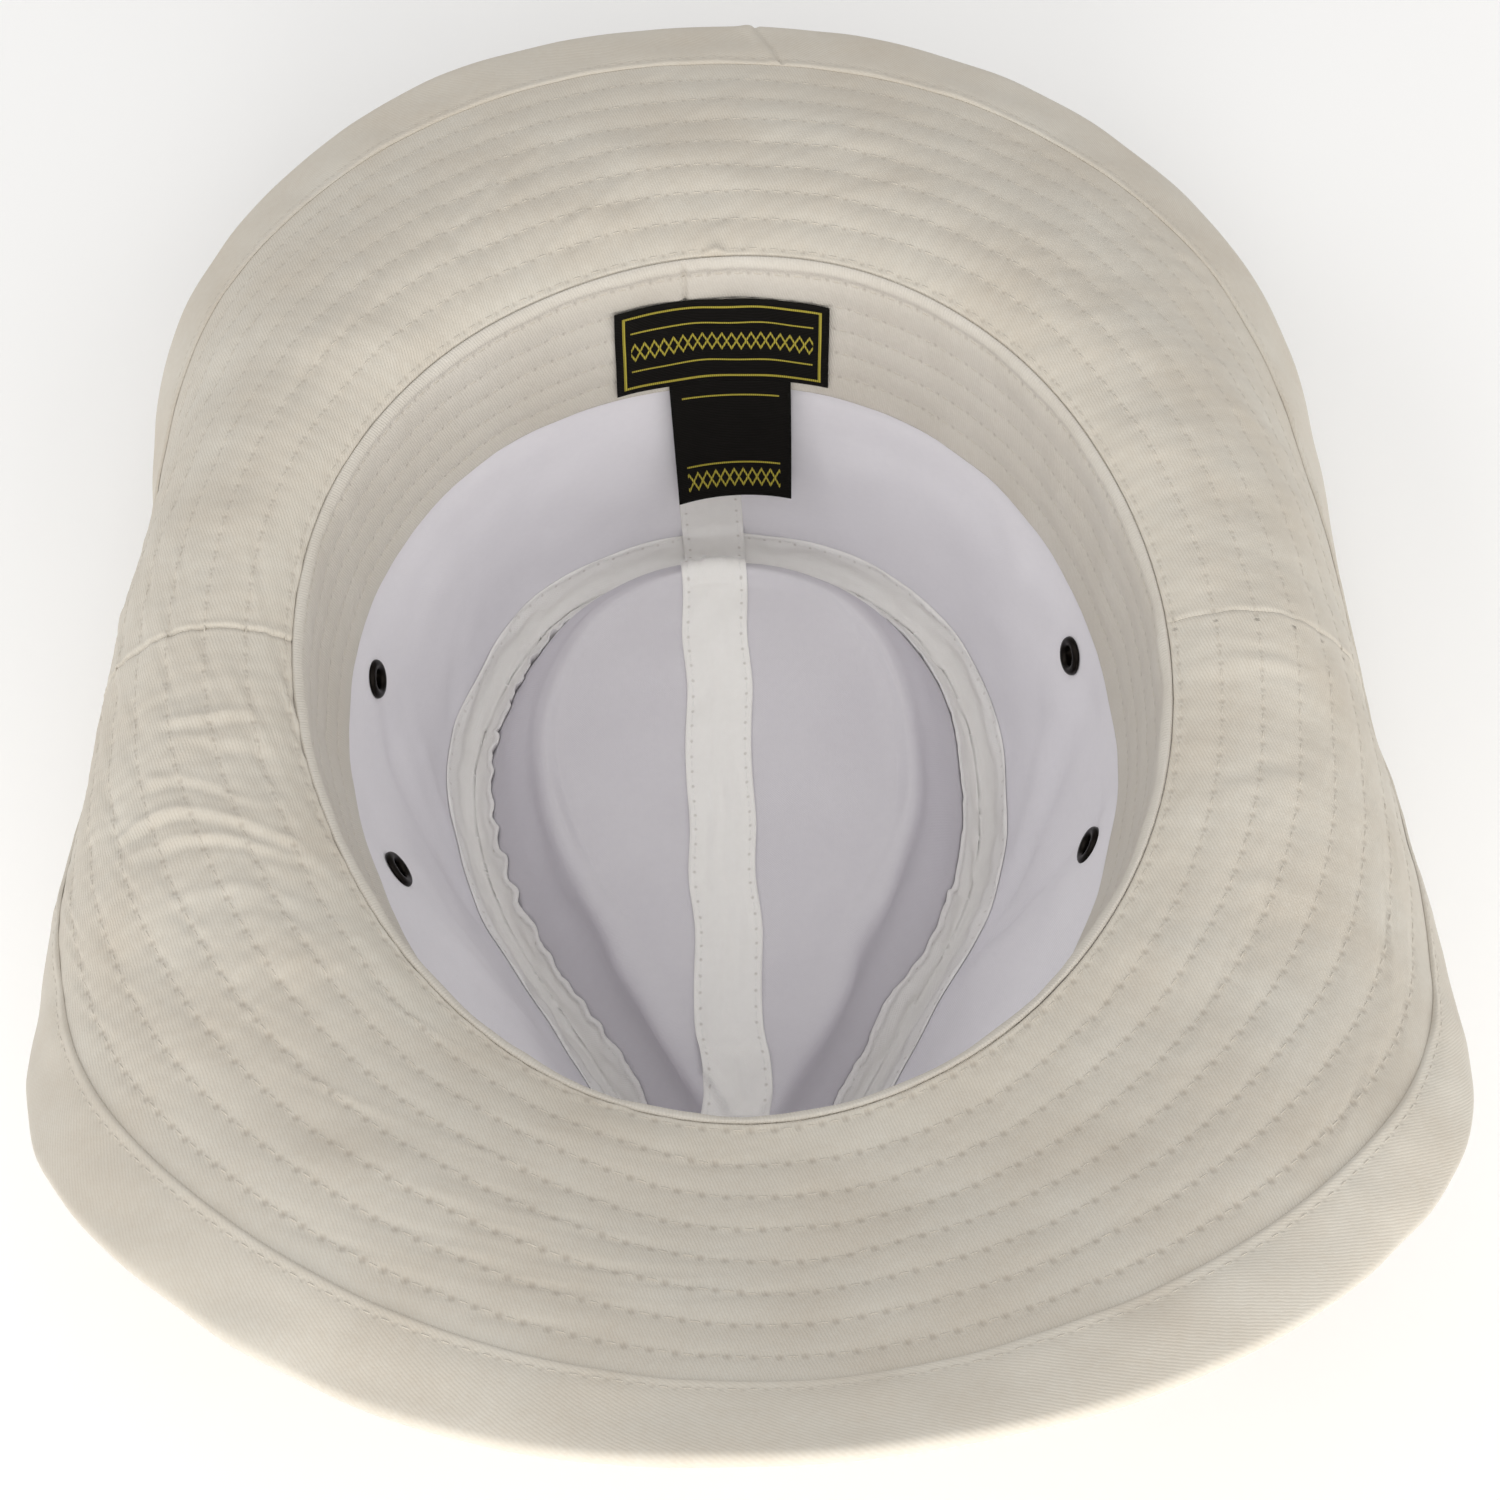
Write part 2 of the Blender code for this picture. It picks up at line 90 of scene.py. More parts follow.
# Sweatband, tapes and labels
BAND_HEIGHT = 0.036
BAND_SEAM = 94.3
TAPE_WIDTH = 0.0138
TAPE_UP_SIDE = 0.28
TAPE_ON_TIP = 0.36
TIP_TAPE_SHIFT = -0.0022
LABEL_WIDTH = 0.0459
LABEL_TOP = 0.0098
LABEL_HEIGHT = 0.023
LABEL_SHIFT = 0.0016
LABEL_SKEW = 0.0014
CARE_WIDTH = 0.0265
CARE_HEIGHT = 0.032
CARE_SHIFT = 0.0032
CARE_STAND_OFF = 0.003

# Eyelets
EYELET_RADIUS = 0.0040
EYELET_BORE = 0.0040
EYELET_DEPTH = 0.049
BARREL_WALL = 0.0006
FLANGE_INSIDE = 0.0010
FLANGE_OUTSIDE = 0.0008
EYELETS = {"right_back": 18.5, "right_front": -10.5, "left_back": 161.5, "left_front": 190.5}

# Stitching: stitch lengths, distances of the brim's rows from its root, depths of the sweatband's rows, the
# share of a stitch by which each row starts after the one before it, and the threads' radii and lengths
STITCH_PITCH = 0.0041
TAPE_PITCH = 0.0033
BRIM_STITCH_ROWS = np.append(0.0016, 0.0091 + 0.0075 * np.arange(7))
BAND_STITCH_ROWS = np.array([0.0030, 0.0100, 0.0165, 0.0230, 0.0295])
TAPE_ROW_INSET = 0.0013
BRIM_ROW_LAG = 0.37
BAND_ROW_LAG = 0.23
BINDING_STITCH = 0.0020
BINDING_PITCH = STITCH_PITCH * 0.85
THREAD = 0.00019
FINE_THREAD = 0.00015
THREAD_SHARE = 0.7
THREAD_SIDES = 4
THREAD_RINGS = 4

# How deep threads lie in a twill face and in a tape, and the step beside a row that its normal is taken over
ROW_SUNK = 0.00004
TAPE_ROW_SUNK = 0.00002
ASIDE = 0.0005

# A row for each section round the hat: azimuth; reach of the head opening and of the tip as shares of
# their half sizes; depth of the pinch in the side as a share of PINCH_DEPTH; slope of the brim above the
# level in degrees at its root, middle and edge.
COLUMNS = ("azimuth", "opening", "tip", "pinch", "root", "middle", "edge")
SECTIONS = (
    (0.0, 0.995, 0.99, 0.0, 30, -54, -87),
    (22.5, 0.994, 1.15, 0.0, 29, -46, -70),
    (45.0, 1.006, 1.29, 0.0, 21, -25, -31),
    (67.5, 1.008, 1.39, 0.0, 13, -13, -15),
    (90.0, 0.991, 1.45, 0.0, 12, -9, -14),
    (112.5, 0.985, 1.40, 0.0, 16, -11, -15),
    (135.0, 1.006, 1.27, 0.0, 31, -27, -43),
    (157.5, 1.020, 1.17, 0.0, 40, -56, -90),
    (180.0, 1.006, 0.97, 0.4, 41, -56, -98),
    (202.5, 0.983, 0.69, 1.0, 41, -29, -77),
    (225.0, 0.986, 0.49, 1.0, 32, 2, -25),
    (247.5, 1.004, 0.41, 0.3, 26, 16, -14),
    (270.0, 1.009, 0.38, 0.0, 8, 22, 17),
    (292.5, 1.003, 0.40, 0.3, 2, 20, -8),
    (315.0, 1.001, 0.49, 1.0, 6, 3, -45),
    (337.5, 1.001, 0.70, 0.4, 19, -34, -77),
)
TABLE = dict(zip(COLUMNS, np.array(SECTIONS).T))

# A row for each crease across the brim: azimuth in degrees and distance from the root in mm of its two
# ends, how far its middle bows round the hat in degrees, its half width and its height in mm. A valley's
# height is negative.
BRIM_CREASES = (
    (203.5, 11.0, 197.0, 38.5, -2.6, 1.2, 0.42),
    (205.0, 11.5, 198.3, 36.0, -2.4, 1.1, -0.38),
    (205.8, 11.0, 199.8, 38.0, -1.9, 1.2, 0.36),
    (207.2, 11.0, 201.3, 34.0, -1.8, 1.3, -0.28),
    (198.5, 15.0, 192.7, 29.5, -0.9, 1.2, 0.36),
    (199.6, 14.0, 194.2, 30.0, -1.2, 1.1, -0.36),
    (196.8, 18.0, 191.6, 29.0, 0.4, 1.2, -0.24),
    (213.5, 2.5, 203.5, 11.0, -2.4, 1.5, 0.36),
    (211.5, 4.5, 205.4, 13.0, -1.2, 1.4, -0.24),
    (188.8, 11.0, 187.9, 25.0, 0.8, 1.2, -0.28),
    (187.4, 11.0, 186.6, 26.0, 0.6, 1.2, 0.28),
    (191.2, 9.0, 190.0, 20.0, 0.3, 1.2, 0.24),
    (192.8, 9.0, 191.4, 19.0, 0.3, 1.2, -0.20),
    (185.2, 12.0, 184.4, 30.0, 0.2, 1.5, -0.18),
    (196.4, 33.0, 194.2, 48.0, -0.6, 1.5, 0.28),
    (193.0, 34.0, 191.4, 45.0, -0.3, 1.5, -0.20),
    (212.0, 12.0, 206.4, 33.0, -1.6, 1.8, 0.28),
    (214.8, 12.0, 208.8, 32.0, -1.4, 1.8, -0.20),
    (221.0, 12.0, 215.0, 34.0, -1.0, 2.2, 0.20),
    (355.9, 4.0, 356.5, 26.0, 0.2, 1.2, -0.22),
    (354.4, 6.0, 355.4, 27.0, 0.2, 1.2, 0.20),
    (352.8, 12.0, 354.6, 26.0, 0.2, 1.2, -0.16),
    (341.5, 12.0, 345.6, 26.0, 0.4, 1.4, -0.20),
    (339.4, 11.0, 343.4, 26.0, 0.4, 1.5, 0.18),
    (331.0, 14.0, 334.0, 36.0, 0.4, 2.0, -0.16),
    (128.0, 22.0, 124.0, 48.0, 0.8, 2.6, -0.18),
    (122.0, 16.0, 118.0, 40.0, 0.8, 2.6, 0.18),
    (50.0, 20.0, 54.0, 46.0, 0.8, 2.6, 0.14),
)
# The same for folds in the crown's side, with the share of the way from the opening to the ridge in
# percent in place of the distance.
SIDE_FOLDS = (
    (10.5, 50.0, 356.0, 92.0, 6.0, 3.6, -1.40),
    (17.0, 54.0, 2.0, 94.0, 5.0, 4.5, 0.80),
    (354.5, 48.0, 350.5, 90.0, 0.5, 3.2, -1.00),
    (346.0, 52.0, 341.0, 92.0, 0.5, 4.5, 0.80),
    (166.0, 62.0, 184.0, 97.0, -2.0, 5.0, -1.10),
    (158.0, 72.0, 172.0, 98.0, -2.0, 4.0, 0.60),
    (200.0, 56.0, 208.0, 96.0, 1.0, 4.0, 0.80),
    (140.0, 78.0, 152.0, 98.0, 0.0, 4.0, -0.50),
)


def along(name, azimuth):
    """A column of the table at each azimuth, on a Catmull-Rom curve through its rows."""
    rows = TABLE[name]
    count = len(rows)
    place = np.asarray(azimuth, float) % 360.0 / 360.0 * count
    i = np.floor(place).astype(int)
    t = place - i
    a, b, c, d = (rows[(i + step) % count] for step in (-1, 0, 1, 2))
    return b + 0.5 * t * (c - a + t * (2 * a - 5 * b + 4 * c - d + t * (3 * (b - c) + d - a)))


def turn(azimuth):
    """Cosine and sine of each azimuth."""
    angle = np.radians(azimuth)
    return np.cos(angle), np.sin(angle)


def unit(vectors):
    """Vectors at a length of 1."""
    return vectors / np.linalg.norm(vectors, axis=-1, keepdims=True)


def head_normal(azimuth):
    """Level direction straight out of the oval of the head opening."""
    c, s = turn(azimuth)
    return unit(np.stack([c / HEAD_HALF_WIDTH, s / HEAD_HALF_LENGTH], -1))


def head_line(azimuth, out=0.0):
    """Plan of the head opening: an oval, drawn in or out by its table share, and moved out by a distance."""
    c, s = turn(azimuth)
    line = np.stack([HEAD_HALF_WIDTH * c, HEAD_HALF_LENGTH * s], -1) * along("opening", azimuth)[..., None]
    return line + head_normal(azimuth) * out


def crest_line(azimuth, share=1.0):
    """Plan of the ridge round the tip, a teardrop, drawn towards the tip's middle by a share in y."""
    c, s = turn(azimuth)
    half_length = (TIP_FRONT_REACH + TIP_BACK_REACH) / 2
    middle = (TIP_BACK_REACH - TIP_FRONT_REACH) / 2
    return np.stack([TIP_HALF_WIDTH * along("tip", azimuth) * c, middle + half_length * s * share], -1)


def crest_fall():
    """How much the crown deepens for each metre towards the front."""
    return (CROWN_FRONT_HEIGHT - CROWN_BACK_HEIGHT) / (TIP_FRONT_REACH + TIP_BACK_REACH)


def crest_depth(y):
    """Depth of the ridge below the head opening."""
    return CROWN_BACK_HEIGHT + crest_fall() * (TIP_BACK_REACH - y)


CREST_DENSE = crest_line(np.arange(0.0, 360.0, 1.0))


def crest_gap(plan):
    """Level distance of each place of the tip from the ridge round it."""
    parts = np.array_split(plan.reshape(-1, 2), 16)
    nearest = [np.sqrt(((part[:, None] - CREST_DENSE) ** 2).sum(-1)).min(-1) for part in parts]
    return np.concatenate(nearest).reshape(plan.shape[:-1])


def tip_height(plan):
    """Height of the tip over its plan: the ridge's depth, and a rise of half a cosine wave to the dent's floor."""
    rise = DENT_DEPTH * (1 - np.cos(pi * np.clip(crest_gap(plan) / DENT_SLOPE_RUN, 0, 1))) / 2
    return rise - crest_depth(plan[..., 1])


def raised(plan, height):
    """Places of a plan at their heights."""
    return np.concatenate([plan, height[..., None]], -1)


def wall_foot(azimuth):
    """Where the side meets the rounded ridge, its depth, and the level direction out of the ridge there."""
    crest = crest_line(azimuth)
    out = unit(head_line(azimuth) - crest)
    return crest + out * RIDGE_RADIUS, crest_depth(crest[..., 1]) - RIDGE_RADIUS, out


WALL_TOP = BRIM_CLOTH / 2 + CLEARANCE + BRIM_LAP / 2


def side_share(azimuth, depth):
    """How far down the side a depth lies, from 0 at its top to 1 at the ridge's foot."""
    return np.clip((depth - WALL_TOP) / (wall_foot(azimuth)[1] - WALL_TOP), 0, 1)


def wall(azimuth, depth):
    """Side of the crown at depths below the opening: it leans in more and more, and is pinched at the front."""
    foot, _, out = wall_foot(azimuth)
    share = side_share(azimuth, depth)
    lean = share**WALL_BELLY
    plan = head_line(azimuth, CROWN_CLOTH / 2 - BRIM_LAP) * (1 - lean)[..., None] + foot * lean[..., None]
    pinch = PINCH_DEPTH * along("pinch", azimuth) * np.exp(-(((share - PINCH_MIDDLE) / PINCH_SPREAD) ** 2))
    return raised(plan - out * pinch[..., None], -depth * np.ones_like(share))


def ridge(azimuth, angle):
    """The rounded ridge, an arc from the foot of the side at 0 degrees to the crest at 90."""
    foot, foot_depth, out = wall_foot(azimuth)
    back = RIDGE_RADIUS * (1 - cos(radians(angle)))
    return raised(foot - out * back, -foot_depth - RIDGE_RADIUS * sin(radians(angle)))


def spine_length(azimuth):
    """Level distance from the crest to the spine along the tip's middle."""
    return np.linalg.norm(crest_line(azimuth, SPINE_SHARE) * (0, 1) - crest_line(azimuth), axis=-1)


def tip(azimuth, distance):
    """The tip at a distance in from the crest, on straight lines to the spine along its middle."""
    crest = crest_line(azimuth)
    spine = crest_line(azimuth, SPINE_SHARE) * (0, 1)
    share = np.minimum(distance / spine_length(azimuth), 1.0)
    plan = crest + (spine - crest) * share[..., None]
    return raised(plan, tip_height(plan))


def brim(azimuth, distances):
    """The brim at distances from its root, walked out along a slope that bends from root to middle to edge:
    a parabola through the three."""
    share = (np.arange(BRIM_STEPS) + 0.5) / BRIM_STEPS
    root, middle, edge = (np.radians(along(name, azimuth))[:, None] for name in ("root", "middle", "edge"))
    slope = root * (1 - share) * (1 - 2 * share) + middle * 4 * share * (1 - share) + edge * share * (2 * share - 1)
    step = BRIM_WIDTH / BRIM_STEPS
    i = np.minimum((distances / step).astype(int), BRIM_STEPS - 1)
    t = distances / step - i
    walked = [np.pad(np.cumsum(way(slope), 1) * step, ((0, 0), (1, 0))) for way in (np.cos, np.sin)]
    out, up = (each[:, i] * (1 - t) + each[:, i + 1] * t for each in walked)
    plan = head_line(azimuth)[:, None] + head_normal(azimuth)[:, None] * out[..., None]
    return raised(plan, up)


def flat_brim(azimuth, distances):
    """The brim's cloth as it was cut, before it was shaped: the same plan with no slope."""
    return head_line(azimuth)[:, None] + head_normal(azimuth)[:, None] * distances[:, None]


def normals(grid, closed=False):
    """Unit normals of a grid, along its round step crossed with its across step."""
    if closed:
        round_step = np.roll(grid, -1, axis=0) - np.roll(grid, 1, axis=0)
    else:
        round_step = np.gradient(grid, axis=0)
    return unit(np.cross(round_step, np.gradient(grid, axis=1)))


TILT = atan2(crest_fall(), 1.0)
LIFT = crest_depth(0.0) * cos(TILT) + CROWN_CLOTH / 2 - PRESS
FRAME_STATIONS = 56


def turned(points):
    """Turns the hat about X until its ridge is level, and lifts it to rest on the ground."""
    x, y, z = np.moveaxis(np.asarray(points, float), -1, 0)
    return np.stack([x, y * cos(TILT) + z * sin(TILT), z * cos(TILT) - y * sin(TILT) + LIFT], -1)


BRIM_EDGE = turned(brim(np.arange(FRAME_STATIONS) * 360 / FRAME_STATIONS, np.array([BRIM_WIDTH]))).reshape(-1, 3)
SHIFT = (BRIM_EDGE.max(0) + BRIM_EDGE.min(0)) / 2 * (1, 1, 0)


def laid(points):
    """The turned hat, with the middle of its brim over the origin, and nothing below the ground."""
    places = turned(points) - SHIFT
    places[..., 2] = np.maximum(places[..., 2], 0.0)
    return places


# Relief

# Shortest and longest of the waves that make up a relief, as shares of its typical wavelength
WAVE_STRETCH = (0.65, 1.5)


def ripple(u, v, length, seed):
    """Smooth random relief of about -1 to 1 with one typical wavelength: a sum of plane waves."""
    rng = np.random.default_rng(seed)
    total = 0.0
    for angle, phase, stretch in rng.uniform((0, 0, WAVE_STRETCH[0]), (2 * pi, 2 * pi, WAVE_STRETCH[1]), (16, 3)):
        total = total + np.sin(2 * pi * (u * cos(angle) + v * sin(angle)) / (length * stretch) + phase)
    return total / 4


def wave(u, length, seed):
    """Smooth random waviness of about -1 to 1 along one line: a sum of sines."""
    rng = np.random.default_rng(seed)
    total = 0.0
    for phase, stretch in rng.uniform((0, WAVE_STRETCH[0]), (2 * pi, WAVE_STRETCH[1]), (9, 2)):
        total = total + np.sin(2 * pi * u / (length * stretch) + phase)
    return total / 3


def bell(offset, width):
    """A Gaussian bump: 1 where the offset is nought, and 1/e at a width from there."""
    return np.exp(-((offset / width) ** 2))


def fade(value, low, high):
    """Smooth step from 0 at low to 1 at high."""
    t = np.clip((value - low) / (high - low), 0, 1)
    return t * t * (3 - 2 * t)


def between_angles(a, b):
    """Degrees from b to a, from -180 to 180."""
    return (a - b + 180) % 360 - 180


def way_round(azimuth, place, reach=HEAD_HALF_LENGTH):
    """Length round the hat from a place to each azimuth, as a column: their angle times the reach."""
    return radians(1) * (azimuth[:, None] - place) * reach


def to_ends(azimuth, reach=HEAD_HALF_LENGTH):
    """Length round the hat to each azimuth from the nearer end of them."""
    return np.minimum(way_round(azimuth, azimuth[0], reach), -way_round(azimuth, azimuth[-1], reach))


def thinned(azimuth, least):
    """Sorted azimuths, each more than the least gap after the one before it."""
    azimuth = np.unique(azimuth.round(3))
    return azimuth[np.append(True, np.diff(azimuth) > least)]


def nearest(positions, place):
    """Number of the position nearest a place."""
    return int(np.argmin(abs(positions - place)))


def paired(u, v):
    """Pairs of two values over one grid."""
    return np.stack(np.broadcast_arrays(u, v), -1)


def spaced(stops, counts):
    """Positions along a line through stops, with so many even steps between each two."""
    runs = [np.linspace(a, b, n, endpoint=False) for a, b, n in zip(stops[:-1], stops[1:], counts)]
    return np.append(np.concatenate(runs), stops[-1])


def with_rows(places, rows, near):
    """Places across a cloth with a column on each stitch row and a few close beside it, and the rest kept
    where no row is near."""
    beside = (np.asarray(rows)[:, None] + np.concatenate([-np.asarray(near), [0], near])).ravel()
    apart = abs(places[:, None] - rows).min(1) > near[-1] * 1.3
    keep = apart | (places == places[0]) | (places == places[-1])
    inside = (beside > places[0]) & (beside < places[-1])
    return np.unique(np.concatenate([places[keep], beside[inside]]).round(6))


def round_edge(positions, radius):
    """How full a cloth's thickness is at each position across it: a quarter circle down to its two edges."""
    gap = np.minimum(positions - positions[0], positions[-1] - positions) / radius
    return np.sqrt(np.clip(1 - (1 - np.clip(gap, 0, 1)) ** 2, 0.02, 1))


def cloth_faces(grid, inward, middle, thickness, full, relief=0.0):
    """Both faces of a cloth at a distance in from a grid: half its thickness to each side of its middle,
    thinned by how full it is, with relief on its inner face."""
    half = thickness / 2
    return [grid + inward * level[..., None] for level in (middle + (half + relief) * full, middle - half * full)]


def creased(azimuth, across, reach, table):
    """Relief of a table of creases: each is a bell across its bowed line, fading at its ends. reach is the
    radius that turns degrees into length round the hat."""
    total = np.zeros(np.broadcast(azimuth, across).shape)
    for a0, d0, a1, d1, bow, width, height in table:
        t = (across - d0) / (d1 - d0)
        middle = a0 + between_angles(a1, a0) * t + bow * np.sin(pi * np.clip(t, 0, 1))
        ends = bell(np.clip(np.abs(t - 0.5) - 0.35, 0, 9), 0.22)
        offset = between_angles(azimuth, middle) * radians(1) * reach * 1000
        total += height * 0.001 * bell(offset, width) * ends
    return total


def brim_lie(azimuth, distances):
    """How far the brim's cloth lies above its even shape: swells and small wrinkles from washing, and creases."""
    flat = flat_brim(azimuth, distances)
    u, v = flat[..., 0], flat[..., 1]
    swells = 0.00032 * ripple(u, v, 0.034, 11) + 0.00012 * ripple(u, v, 0.013, 12)
    reach = (HEAD_HALF_WIDTH + HEAD_HALF_LENGTH) / 2 + distances
    creases = creased(azimuth[:, None], distances[None] * 1000, reach, BRIM_CREASES)
    return (swells * (1 - 0.6 * fade(distances, 0.038, 0.056)) + creases) * fade(distances, 0.0, 0.006)


def side_lie(azimuth, depth):
    """How far the crown's side lies inwards of its even shape: slow swells and folds below the sweatband. The
    swells are worked out from the front seam round, and fade at both middle seams."""
    from_front = (azimuth + 90) % 360
    u = radians(1) * from_front * HEAD_HALF_WIDTH
    share = side_share(azimuth, depth)
    soft = 0.0007 * ripple(u, depth * 0.6, 0.055, 31) + 0.00018 * ripple(u, depth, 0.018, 32)
    to_seam = np.minimum(abs(between_angles(azimuth, 90)), abs(between_angles(azimuth, 270)))
    lie = soft * fade(to_seam, 0, 8) + creased(azimuth, share * 100, 0.070, SIDE_FOLDS)
    return lie * fade(depth, BAND_HEIGHT, BAND_HEIGHT + 0.014) * (1 - fade(share, 0.93, 1.0))


def tip_lie(plan):
    """How far the tip lies above its even shape: a rolled lip where the dent's slope meets its floor, fuller
    towards the front, soft folds down the slope, and slow swells of the floor."""
    gap = crest_gap(plan)
    x, y = plan[..., 0], plan[..., 1]
    front = fade(-y, -0.05, 0.03)
    around = np.arctan2(y, x) * 0.045
    lip_line = DENT_SLOPE_RUN * (1.10 - 0.30 * front)
    lip = (0.0017 + 0.0014 * front) * (1 + 0.3 * wave(around, 0.040, 43)) * bell(gap - lip_line, 0.0018)
    valley = (0.0010 + 0.0008 * front) * bell(gap - lip_line + 0.0046, 0.0021)
    folds = 0.00040 * ripple(gap, around * 0.4, 0.009, 44) * bell(gap - 0.010, 0.006)
    floor = (0.0009 * ripple(x, y * 0.7, 0.050, 41) + 0.00022 * ripple(x, y, 0.018, 42)) * fade(gap, 0.010, 0.022)
    return (lip - valley + folds + floor) * fade(gap, 0.0020, 0.0070)


# Meshes

PIECES = bpy.data.collections.new("Dressed fedora")
bpy.context.scene.collection.children.link(PIECES)


def into_scene(name, points, faces, finish, nodes=(), maps=None):
    """One object on the hat's body: its mesh, finish and maps, and the frame nodes it stands for."""
    mesh = bpy.data.meshes.new(name)
    mesh.from_pydata(points, [], faces)
    mesh.materials.append(finish)
    for map_name, places in (maps or {}).items():
        mesh.uv_layers.new(name=map_name).data.foreach_set("uv", places.astype(np.float32).ravel())
    mesh.shade_smooth()
    mesh.update()
    obj = bpy.data.objects.new(name, mesh)
    PIECES.objects.link(obj)
    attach(obj, "root")
    if nodes:
        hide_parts(*nodes)
    return obj


def shell(name, front, back, finish, nodes=(), closed=False, maps=None, keep=None):
    """A closed skin between two grids. front lies on the side that normals() points to. maps gives each grid
    point its place in a map, with one more station than a closed grid. keep says which cells are there, and
    every open side of a cell that is there gets a rim."""
    count, rows = front.shape[:2]
    there = np.ones((count if closed else count - 1, rows - 1), bool) if keep is None else keep
    here = np.argwhere(there)
    corners = np.stack([here, here + (1, 0), here + (1, 1), here + (0, 1)], 1)
    quads = [corners, corners[:, ::-1]]
    levels = [np.zeros((len(here), 4), int), np.ones((len(here), 4), int)]
    padded = np.pad(there, 1)
    if closed:
        padded[0, 1:-1], padded[-1, 1:-1] = there[-1], there[0]
    below, above, before, after = padded[1:-1, :-2], padded[1:-1, 2:], padded[:-2, 1:-1], padded[2:, 1:-1]
    sides = ((below, (0, 0), (1, 0)), (after, (1, 0), (1, 1)), (above, (1, 1), (0, 1)), (before, (0, 1), (0, 0)))
    for beside, a, b in sides:
        here = np.argwhere(there & ~beside)
        quads.append(np.stack([here + b, here + a, here + a, here + b], 1))
        levels.append(np.tile([0, 0, 1, 1], (len(here), 1)))
    places, level = np.concatenate(quads), np.concatenate(levels)
    index = places[..., 0] % count * rows + places[..., 1] + level * count * rows
    points = laid(np.concatenate([front.reshape(-1, 3), back.reshape(-1, 3)]))
    used, index = np.unique(index, return_inverse=True)
    laid_out = {each: grid[places[..., 0], places[..., 1]] for each, grid in (maps or {}).items()}
    return into_scene(name, points[used], index.reshape(-1, 4), finish, nodes, laid_out)


def arc_length(path):
    """Length along a path from its start to each of its points."""
    return np.append(0.0, np.cumsum(np.linalg.norm(np.diff(path, axis=0), axis=-1)))


def stitch_phase(path, pitch, closed=True):
    """How many stitches lie before each point of a row, with a whole number in a closed row."""
    arc = arc_length(path)
    return arc / arc[-1] * round(arc[-1] / pitch) if closed else arc / pitch


def stitch_map(positions, rows, phases):
    """The map that needle holes are drawn from. For each station and each position across the cloth it holds
    the stitches before it on the nearest row, and the distance from that row in metres."""
    gaps = abs(positions[..., None] - rows)
    closest = gaps.argmin(-1)
    phase = phases[:, closest] if closest.ndim == 1 else np.take_along_axis(phases, closest, 1)
    return paired(phase, gaps.min(-1))


def thread_run(path, outward, phase, radius=THREAD, sunk=0.0):
    """One small thread for each whole step of phase along a path that is sunk in the cloth: a bar bowed
    outwards between two needle holes. A closed path has one phase more than it has points."""
    path = path - outward * sunk
    if len(phase) > len(path):
        path, outward = round_again(path), round_again(outward)
    whole = np.arange(np.ceil(phase[0]), np.floor(phase[-1]))
    t = np.linspace(-0.5, 0.5, THREAD_RINGS)
    at = whole[:, None] + 0.5 + t * THREAD_SHARE
    centre, up = (np.stack([np.interp(at, phase, k) for k in each.T], -1) for each in (path, outward))
    side = unit(np.cross(up, unit(centre[:, -1:] - centre[:, :1])))
    bow = (1 - (2 * t) ** 2)[:, None]
    centre = centre + up * radius * (bow * 1.1 - 0.9)
    angle = 2 * pi * (np.arange(THREAD_SIDES) + 0.5) / THREAD_SIDES
    ring = np.cos(angle)[:, None] * side[:, :, None] + np.sin(angle)[:, None] * up[:, :, None]
    return centre[:, :, None] + ring * radius * (0.55 + 0.45 * bow)[:, None]


def threads(name, runs, finish):
    """All the threads of some rows as one piece: each is a bar of THREAD_RINGS rings with closed ends."""
    bars = np.concatenate(runs)
    a, b = np.meshgrid(np.arange(THREAD_RINGS - 1) * THREAD_SIDES, np.arange(THREAD_SIDES), indexing="ij")
    c = (b + 1) % THREAD_SIDES
    around = np.stack([a + b, a + c, a + THREAD_SIDES + c, a + THREAD_SIDES + b], -1)
    first = np.arange(THREAD_SIDES)[None, ::-1]
    last = (THREAD_RINGS - 1) * THREAD_SIDES + np.arange(THREAD_SIDES)[None]
    bar_faces = np.concatenate([around.reshape(-1, 4), first, last])
    faces = bar_faces + (np.arange(len(bars)) * THREAD_RINGS * THREAD_SIDES)[:, None, None]
    return into_scene(name, laid(bars.reshape(-1, 3)), faces.reshape(-1, 4), finish)


def round_again(path):
    """A closed path with its first point once more at its end."""
    return np.append(path, path[:1], 0)


# Finishes


def colour(code, *shares):
    """An sRGB hex value as linear red, green, blue and full alpha. Each channel is times its share, and at
    most 1, where shares are given."""
    channels = [int(code[k : k + 2], 16) / 255 for k in (1, 3, 5)]
    linear = [c / 12.92 if c <= 0.04045 else ((c + 0.055) / 1.055) ** 2.4 for c in channels]
    return (*(min(c * share, 1.0) for c, share in zip(linear, shares or (1, 1, 1))), 1.0)


def add(tree, kind, inputs, output=0, **settings):
    """A shader node with its settings. Each input, by name or number, is linked if it is a socket and set if
    it is a value. Gives one of its outputs."""
    node = tree.nodes.new("ShaderNode" + kind)
    for name, value in settings.items():
        setattr(node, name, value)
    for name, value in inputs.items():
        if isinstance(value, bpy.types.NodeSocket):
            tree.links.new(value, node.inputs[name])
        else:
            node.inputs[name].default_value = value
    return node.outputs[output]


def blank(name, **values):
    """A material with its Principled shader, whose even values are set on the shader itself."""
    material = bpy.data.materials.new(name)
    material.use_nodes = True
    shader = material.node_tree.nodes["Principled BSDF"]
    for socket, value in values.items():
        shader.inputs[socket.replace("_", " ")].default_value = value
    return material, material.node_tree, shader


